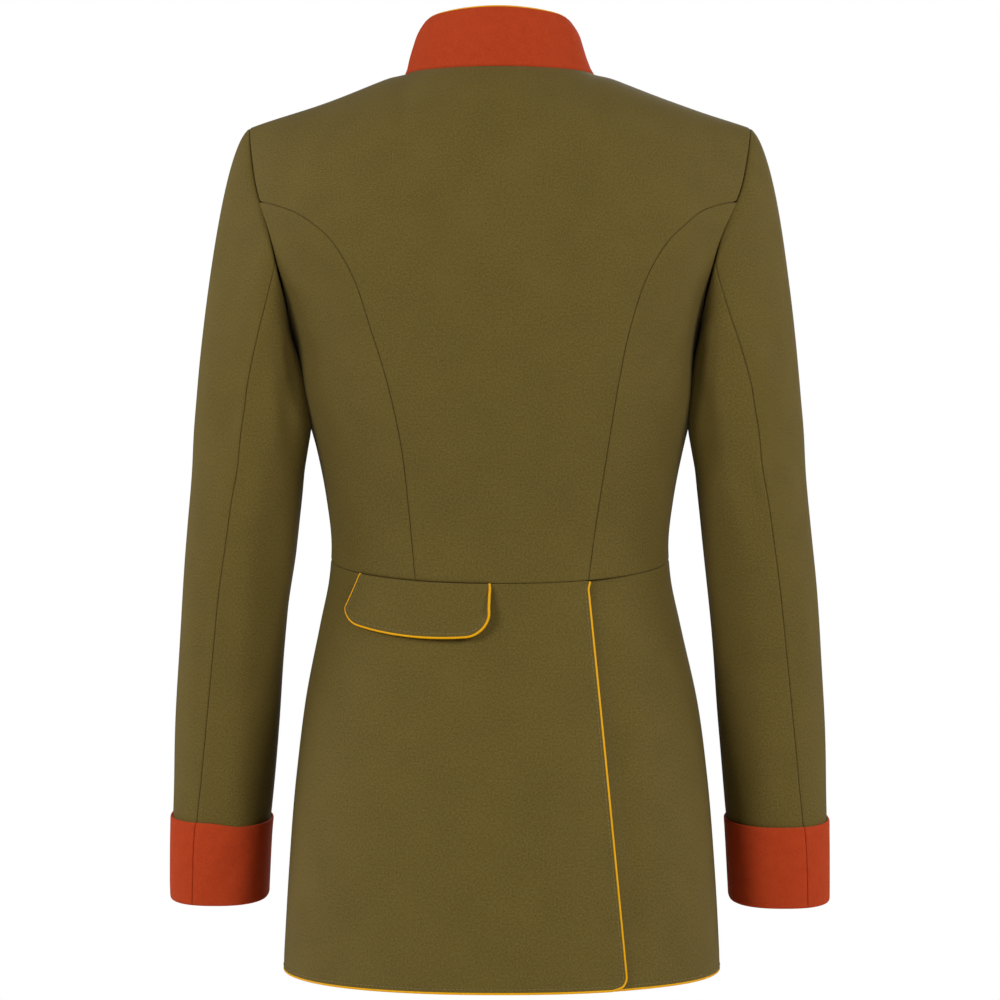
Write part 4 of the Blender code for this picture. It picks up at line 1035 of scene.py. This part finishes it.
COLLAR_CLOTH = 2.8
COLLAR_BACK_HEIGHT = 48.0
COLLAR_SIDE_HEIGHT = 43.8
COLLAR_FRONT_HEIGHT = 40.0
COLLAR_FRONT_FULLNESS = 12.0
COLLAR_SIDE_LEAN = 17.0
COLLAR_BACK_LEAN = 14.0
COLLAR_FRONT_LEAN = 4.0
COLLAR_FOOT_GAP = 0.4
COLLAR_TOP_ROLL = 3.6
COLLAR_ROLL_START = 0.66
COLLAR_FOOT_RIDGE = 0.7
COLLAR_RIDGE_UP = 1.5
COLLAR_RIDGE_WIDTH = 1.3
COLLAR_CELL = 2.4


def on_collar(plan):
    """Plan points are (share, rise): share -2 to 2 round the neck, rise 0 to 1 up the stand."""
    share, rise = abs(plan[..., 0]), plan[..., 1]
    foot = on_torso(neckline(np.clip(share, 0, 2)))
    angle = share * np.pi / 2
    behind = share < 1
    lean = COLLAR_SIDE_LEAN * np.sin(angle) ** 2
    end_lean = np.where(behind, COLLAR_BACK_LEAN, COLLAR_FRONT_LEAN)
    lean = np.radians(lean + end_lean * np.cos(angle) ** 2)
    end_height = np.where(behind, COLLAR_BACK_HEIGHT, COLLAR_FRONT_HEIGHT)
    turn = np.abs(np.cos(angle)) ** 1.5
    height = COLLAR_SIDE_HEIGHT + (end_height - COLLAR_SIDE_HEIGHT) * turn
    height += COLLAR_FRONT_FULLNESS * np.where(behind, 0, np.sin(2 * angle) ** 2)
    run = COLLAR_FOOT_GAP + height * rise
    away = np.stack([np.sin(angle), -np.cos(angle), 0 * angle], -1)
    high = np.clip((rise - COLLAR_ROLL_START) / (1 - COLLAR_ROLL_START), 0, 1)
    roll = COLLAR_TOP_ROLL * np.sin(angle) ** 2 * high**2
    point = foot - away * (run * np.sin(lean) + roll)[..., None]
    point[..., 2] += run * np.cos(lean)
    point[..., 0] += SEAM_GAP / 2 * ease(share, 1.9, 2)
    point[..., 0] *= np.sign(plan[..., 0] + 1e-12)
    return point


def collar_swell(points, out, up):
    """The seam's fullness shows as a soft ridge just above the neck seam."""
    return COLLAR_FOOT_RIDGE * np.exp(-(((up - COLLAR_RIDGE_UP) / COLLAR_RIDGE_WIDTH) ** 2))


collar_plan = grid_of(spread(-2, 2, 36), spread(0, 1, 2))
cloth_piece(
    "collar",
    collar_plan,
    on_collar,
    melton,
    thickness=COLLAR_CLOTH,
    swell=collar_swell,
    cell=COLLAR_CELL,
    edges=(SEWN, SEWN, TUCKED, PIPED),
)

# ---------------------------------------------------------------- pocket flap
# The flap on the left back is lined gabardine, sewn into the waist seam with its right corner
# standing off the skirt. A row of topstitching follows its free edges inside the piping.

FLAP_CLOTH = 2.2
FLAP_LEFT_TOP_X = -107.0
FLAP_LEFT_FOOT_X = -118.0
FLAP_RIGHT_X = -9.5
FLAP_LEFT_DEPTH = 37.5
FLAP_MIDDLE_DEPTH = 41.7
FLAP_RIGHT_DEPTH = 38.7
FLAP_LEFT_CORNER = 8.5
FLAP_RIGHT_CORNER = 17.0
FLAP_CLEARANCE = 0.5
FLAP_LIFT_LEFT = 0.8
FLAP_LIFT_RIGHT = 4.5
FLAP_CELL = 1.6


def on_flap(plan):
    """Plan points are (a, b): a 0 to 1 from its left to its right, b 1 at the top to 0."""
    u = (1 - np.cos(np.pi * plan[..., 0])) / 2
    v = np.sin(np.pi / 2 * (1 - plan[..., 1]))
    left = FLAP_LEFT_TOP_X + (FLAP_LEFT_FOOT_X - FLAP_LEFT_TOP_X) * v
    x = left + (FLAP_RIGHT_X - left) * u
    foot = FLAP_LEFT_DEPTH + (FLAP_RIGHT_DEPTH - FLAP_LEFT_DEPTH) * u
    foot += (FLAP_MIDDLE_DEPTH - (FLAP_LEFT_DEPTH + FLAP_RIGHT_DEPTH) / 2) * 4 * u * (1 - u)
    for corner, gap in ((FLAP_LEFT_CORNER, x - left), (FLAP_RIGHT_CORNER, FLAP_RIGHT_X - x)):
        short = np.clip(corner - gap, 0, corner)
        foot -= np.where(gap < corner, corner - np.sqrt(corner**2 - short**2), 0)
    lift = (FLAP_LIFT_LEFT + (FLAP_LIFT_RIGHT - FLAP_LIFT_LEFT) * u * u) * v * v
    z = waist_at(x)[1] - SEAM_GAP - foot * v
    phi = phi_at(x, z)
    return torso(phi, z) + torso_out(phi, z) * (FLAP_CLEARANCE + lift + FLAP_CLOTH)[..., None]


flap_plan = grid_of(spread(0, 1, 20), spread(0, 1, 10))
cloth_piece(
    "pocket_flap",
    flap_plan,
    on_flap,
    thickness=FLAP_CLOTH,
    cell=FLAP_CELL,
    edges=(PIPED, PIPED, PIPED, SEWN),
)

# The flap's topstitching, close inside its free edges, in stitches 2.6 mm long.
STITCH_INSET = 1.5
STITCH_LENGTH = 2.6
STITCH_PITCH = 3.2
STITCH_RADIUS = 0.32
STITCH_LIFT = 0.3  # how far a stitch stands up, as a share of its radius
STITCH_FREE = 6  # samples left free at the waist seam

# Polyester core-spun thread: matt, finely twisted, a shade lighter than the cloth. Its twist
# is drawn at 0.5 mm.
thread, tree, shader = new_material("olive_sewing_thread", {"Roughness": 0.6})
spot = node(tree, "TexCoord").outputs["Object"]
twist = node(tree, "TexWave", {"Vector": spot, "Scale": per_mm(0.5)}).outputs["Fac"]
coloured(tree, shader, "#6E6033", "#918250", twist)


def stitched(name, line, out):
    """A row of stitches along a line of points, each a small round-ended bar."""
    both = evenly(np.concatenate([line, out], 1), 2 * int(length_of(line) / STITCH_PITCH))
    bm = bmesh.new()
    for here, ahead in zip(both[1:-1:2], both[2::2]):
        way, facing = unit(ahead[:3] - here[:3]), unit(here[3:])
        side = np.cross(facing, way)
        middle = worn(here[:3] + facing * STITCH_RADIUS * STITCH_LIFT) * MM
        made = bmesh.ops.create_uvsphere(bm, u_segments=6, v_segments=5, radius=1)
        for vert in made["verts"]:
            along, wide, tall = vert.co.z * STITCH_LENGTH / 2, vert.co.x, vert.co.y
            place = way * along + (side * wide + facing * tall) * STITCH_RADIUS
            vert.co = middle + place * MM
    piece = closed(name, bm, thread)
    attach(piece, "root")


def edge_samples(plan, place, sink=None):
    """A sheet's own points before its edges are moved, with its outward directions."""
    points = place(plan)
    out = out_of(points)
    if sink is not None:
        points = points - out * sink(points)[..., None]
    return points, out


def away_from(edge, facing):
    """The way out of a sheet along its free edge, which runs down, to the right and up."""
    return unit(np.cross(unit(np.gradient(edge, axis=0)), facing))


# The row runs down the flap's left side, along its foot and up its right.
points, out = edge_samples(flap_plan, on_flap)
flap_edge = np.concatenate([points[:0:-1, 0], points[0], points[1:, -1]])
flap_facing = np.concatenate([out[:0:-1, 0], out[0], out[1:, -1]])
flap_away = away_from(flap_edge, flap_facing)
row = flap_edge - flap_away * STITCH_INSET
free = slice(STITCH_FREE, -STITCH_FREE)
stitched("pocket_flap_topstitching", row[free], flap_facing[free])

# The same topstitching runs along the hem of every skirt panel and up beside the vent.
for name, plan, sink, up_vent, mirror in (
    ("skirt_back_left", back_left_plan, None, True, False),
    ("skirt_back_right", back_right_plan, vent_sink, False, False),
    ("skirt_front_right", front_skirt, None, False, False),
    ("skirt_front_left", front_skirt, front_sink, False, True),
):
    points, out = edge_samples(plan, on_torso, sink)
    edge, facing = points[0], out[0]
    if up_vent:
        edge = np.concatenate([edge[:-1], points[:-1, -1]])
        facing = np.concatenate([facing[:-1], out[:-1, -1]])
    row = edge - away_from(edge, facing) * STITCH_INSET
    if mirror:
        row, facing = row[::-1] * MIRROR, facing[::-1] * MIRROR
    stitched(name + "_topstitching", row, facing)

# ---------------------------------------------------------------- piping
# The piping is a cotton cord covered in golden yellow satin on the bias. It is sewn along the
# collar's top edge, round the flap, down the vent edge and along the whole hem.

PIPING_RADIUS = 1.0
PIPING_REACH = 1.44
CORD_SIDES = 14
CORD_STEP = 2.0
COLLAR_CORD_TRIM = 0.8

# Cotton satin has long floats, so it is smooth and a little glossy along the cord. It was cut
# on the bias, and its fine diagonal lines are drawn 0.9 mm apart.
satin, tree, shader = new_material(
    "gold_cotton_satin", {"Roughness": 0.42, "Specular IOR Level": 0.15}
)
cut_map = node(tree, "UVMap", uv_map="cut").outputs["UV"]
bias = node(tree, "Mapping", {"Vector": cut_map, "Rotation": (0, 0, math.radians(45))}).outputs[0]
weave = {"Vector": bias, "Scale": per_mm(0.9), "Distortion": 0.5}
floats = node(tree, "TexWave", weave).outputs["Fac"]
uneven = noise(tree, cut_map, 160, 3)
coloured(tree, shader, "#FFA800", "#FFC200", 0.0, (floats, 0.35), (uneven, 0.7))
raised(tree, shader, floats, 0.3, 0.0001)


def cord_rings(line, radius, sides):
    """Rings of points round a line, turned as little as they can be from one to the next."""
    along = unit(np.gradient(line, axis=0))
    across = np.cross(along[0], (0.3, 0.2, 0.9))
    rings = []
    for point, way in zip(line, along):
        across = unit(across - way * np.dot(across, way))
        other = np.cross(way, across)
        turns = np.linspace(0, 2 * np.pi, sides + 1)[:-1, None]
        rings.append(point + radius * (across * np.cos(turns) + other * np.sin(turns)))
    return np.array(rings)


def tube(name, lines, radius, material, sides=CORD_SIDES):
    """Closed round tubes along lines of points, as one mesh with its length as a UV."""
    bm = bmesh.new()
    layer = bm.loops.layers.uv.new("cut")
    for line in lines:
        rings = worn(cord_rings(line, radius, sides))
        run = run_of(line[None], 1)[0]
        start = set(bm.verts)
        made = bmesh.ops.create_grid(bm, x_segments=sides, y_segments=len(line) - 1, size=1)
        at = {}
        for vert in made["verts"]:
            j = round((vert.co.y + 1) / 2 * (len(line) - 1))
            i = round((vert.co.x + 1) / 2 * sides)
            at[vert] = (i, j)
            vert.co = rings[j][i % sides] * MM
        for face in {f for v in made["verts"] for f in v.link_faces}:
            for loop in face.loops:
                i, j = at[loop.vert]
                loop[layer].uv = (2 * math.pi * radius * i / sides * MM, run[j] * MM)
        new = [v for v in bm.verts if v not in start]
        bmesh.ops.remove_doubles(bm, verts=new, dist=1e-7)
    ends = [e for e in bm.edges if e.is_boundary]
    bmesh.ops.holes_fill(bm, edges=ends, sides=0)
    return closed(name, bm, material)


def beside(points, inner, out, thickness):
    """A cord's centre line just outside an edge of a sheet."""
    along = unit(np.gradient(points, axis=0))
    into = inner - points
    into = unit(into - along * (into * along).sum(-1, keepdims=True))
    return points - out * thickness / 2 - into * PIPING_REACH


def piped(name, line):
    """One run of piping along a centre line."""
    line = evenly(line, int(length_of(line) / CORD_STEP))
    piece = tube(name + "_cord", [line], PIPING_RADIUS, satin)
    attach(piece, "root")
    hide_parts(name)


points, out = edge_samples(collar_plan, on_collar)
collar_top = beside(points[-1], points[-3], out[-1], COLLAR_CLOTH)
for end, near in ((0, 1), (-1, -2)):
    collar_top[end] += unit(collar_top[near] - collar_top[end]) * COLLAR_CORD_TRIM
piped("collar_piping", collar_top)

flap_cord = flap_edge - flap_facing * FLAP_CLOTH / 2 + flap_away * PIPING_REACH
piped("pocket_flap_piping", flap_cord)


def below_hem(plan, sink=None):
    """A cord's centre line along the hem of a panel."""
    points, out = edge_samples(plan, on_torso, sink)
    return beside(points[0], points[2], out[0], CLOTH)


points, out = edge_samples(back_left_plan, on_torso)
vent = beside(points[1:, -1], points[1:, -3], out[1:, -1], CLOTH)
vent[-1] += unit(vent[-2] - vent[-1]) * 2 * SEAM_GAP
front_hem = below_hem(front_skirt, front_sink)[::-1] * MIRROR
left_hem = np.concatenate([front_hem, below_hem(back_left_plan)[1:-1], vent[2:]])
piped("hem_piping_left", left_hem)
right_hem = np.concatenate([below_hem(back_right_plan, vent_sink), below_hem(front_skirt)[1:]])
piped("hem_piping_right", right_hem)

# ---------------------------------------------------------------- buttons
# Six plain domed brass shank buttons fasten the hidden front, each through a worked
# buttonhole on the upper front.

BUTTON_HEIGHTS = np.linspace(-102, -378, 6)
BUTTON_RADIUS = 10.0
BUTTON_DOME = 4.2
BUTTON_RIM = 1.4
BUTTON_EDGE = 0.5
BUTTON_INSET = 0.7
BUTTON_SIDES = 40
DOME_ANGLES = (14, 30, 46, 62, 76, 90)
SHANK_RADIUS = 3.0
SHANK_HEIGHT = 2.4
BUTTON_GAP = 0.8

# Brass, stamped and left satin: a warm metal that softens what it mirrors, with faint
# handling marks that vary its roughness.
brass, tree, shader = new_material(
    "satin_brass", {"Base Color": srgb("#B08D4A"), "Metallic": 1}
)
marks = noise(tree, node(tree, "TexCoord").outputs["Object"], 900, 4)
rough = node(tree, "MapRange", {0: marks, 3: 0.28, 4: 0.48}).outputs[0]
tree.links.new(rough, shader.inputs["Roughness"])

rim = SHANK_HEIGHT + BUTTON_RIM
profile = [
    (0, 0),
    (SHANK_RADIUS, 0),
    (SHANK_RADIUS, SHANK_HEIGHT),
    (BUTTON_RADIUS - BUTTON_EDGE, SHANK_HEIGHT),
    (BUTTON_RADIUS, SHANK_HEIGHT + BUTTON_EDGE),
    (BUTTON_RADIUS, rim),
]
for turn in np.radians(DOME_ANGLES):
    height = rim + (BUTTON_DOME - BUTTON_RIM) * math.sin(turn)
    profile.append(((BUTTON_RADIUS - BUTTON_INSET) * math.cos(turn), height))
side_way = np.array([1.0, 0, 0])
for k, z in enumerate(BUTTON_HEIGHTS):
    seat, facing = torso(np.pi, z), torso_out(np.pi, z)
    up_way = unit(np.cross(facing, side_way))
    bm = bmesh.new()
    verts = [bm.verts.new((r, 0, h)) for r, h in profile]
    edges = [bm.edges.new(pair) for pair in zip(verts, verts[1:])]
    bmesh.ops.spin(
        bm,
        geom=verts + edges,
        cent=(0, 0, 0),
        axis=(0, 0, 1),
        angle=2 * math.pi,
        steps=BUTTON_SIDES,
        use_merge=True,
    )
    bmesh.ops.remove_doubles(bm, verts=bm.verts[:], dist=1e-4)
    for vert in bm.verts:
        r = side_way * vert.co.x + up_way * vert.co.y + facing * (vert.co.z + BUTTON_GAP)
        vert.co = worn(seat + r) * MM
    piece = closed(f"button_{k + 1}_brass", bm, brass)
    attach(piece, "root")
    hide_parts(f"button_{k + 1}")

# Worked buttonholes on the upper front, seen from under each button towards the right side.
BUTTONHOLE_END_X = 18.0
BUTTONHOLE_XS = [6.0, 12.0]
BUTTONHOLE_HALF = 1.0
BUTTONHOLE_LIFT = 0.3
BUTTONHOLE_THREAD = 0.55
BUTTONHOLE_SIDES = 8
loops = []
turn = np.linspace(np.pi / 2, -np.pi / 2, 9)
for z in BUTTON_HEIGHTS:
    round_end = BUTTONHOLE_END_X + BUTTONHOLE_HALF * np.cos(turn)
    x = np.concatenate([BUTTONHOLE_XS, round_end, BUTTONHOLE_XS[::-1]])
    height = np.concatenate([[1, 1], np.sin(turn), [-1, -1]]) * BUTTONHOLE_HALF + z
    phi = phi_at(x, height, True)
    loops.append(torso(phi, height) + torso_out(phi, height) * BUTTONHOLE_LIFT)
piece = tube("buttonholes_thread", loops, BUTTONHOLE_THREAD, thread, BUTTONHOLE_SIDES)
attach(piece, "root")

# ---------------------------------------------------------------- studio
# A plain white studio: a pale floor at a standing wearer's feet, a high soft light to each
# side of the camera, weaker ones beside and behind the coat, and an even white surround.

FLOOR_Z = -1.45
FLOOR_RADIUS = 3.0
CAMERA_PLACE = (0, -2.5, -0.341)
LENS_MM = 112.5
SENSOR_MM = 36
SURROUND_LIGHT = 0.1
LIT_POINT = (0, 0, -0.35)

floor_paint = new_material("pale_floor", {"Base Color": srgb("#F2F1EE"), "Roughness": 0.9})[0]
bm = bmesh.new()
bmesh.ops.create_circle(bm, cap_ends=True, segments=96, radius=FLOOR_RADIUS)
bmesh.ops.translate(bm, verts=bm.verts[:], vec=(0, 0, FLOOR_Z))
finished("floor", bm, floor_paint)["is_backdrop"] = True

# Place in metres, size and power of the square soft boxes, all aimed at the coat's middle.
LIGHTS = {
    "key_left": ((-1.95, -1.85, 0.8), 1.2, 37),
    "key_right": ((1.95, -1.85, 0.8), 1.2, 37),
    "rim_left": ((-2.5, 0.4, 0.5), 1.2, 20),
    "rim_right": ((2.5, 0.4, 0.4), 1.2, 15),
    "back_light": ((0.6, 2.6, 0.8), 1.6, 34),
}
for name, (place, size, power) in LIGHTS.items():
    data = bpy.data.lights.new(name, "AREA")
    data.shape, data.size, data.energy = "SQUARE", size, power
    light = bpy.data.objects.new(name, data)
    light.location = place
    aim = light.location - Vector(LIT_POINT)
    light.rotation_euler = aim.to_track_quat("Z", "Y").to_euler()
    bpy.context.scene.collection.objects.link(light)

# The surround is white to the camera and dimmer as a light, like a lit studio sweep.
world = bpy.data.worlds.new("white_surround")
world.use_nodes = True
bpy.context.scene.world = world
sky = world.node_tree.nodes["Background"]
seen = node(world.node_tree, "LightPath").outputs["Is Camera Ray"]
strength = node(world.node_tree, "MapRange", {0: seen, 3: SURROUND_LIGHT, 4: 1.0}).outputs[0]
sky.inputs["Color"].default_value = (1, 1, 1, 1)
world.node_tree.links.new(strength, sky.inputs["Strength"])

camera = bpy.data.cameras.new("camera")
camera.lens = LENS_MM
camera.sensor_width = SENSOR_MM
eye = bpy.data.objects.new("camera", camera)
eye.location = CAMERA_PLACE
eye.rotation_euler = (math.pi / 2, 0, 0)
bpy.context.scene.collection.objects.link(eye)
bpy.context.scene.camera = eye
bpy.context.scene.view_settings.view_transform = "Standard"

sizes = {"cad": cad_box, "visual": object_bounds()}
sizes = {key: [[float(v) for v in corner] for corner in box] for key, box in sizes.items()}
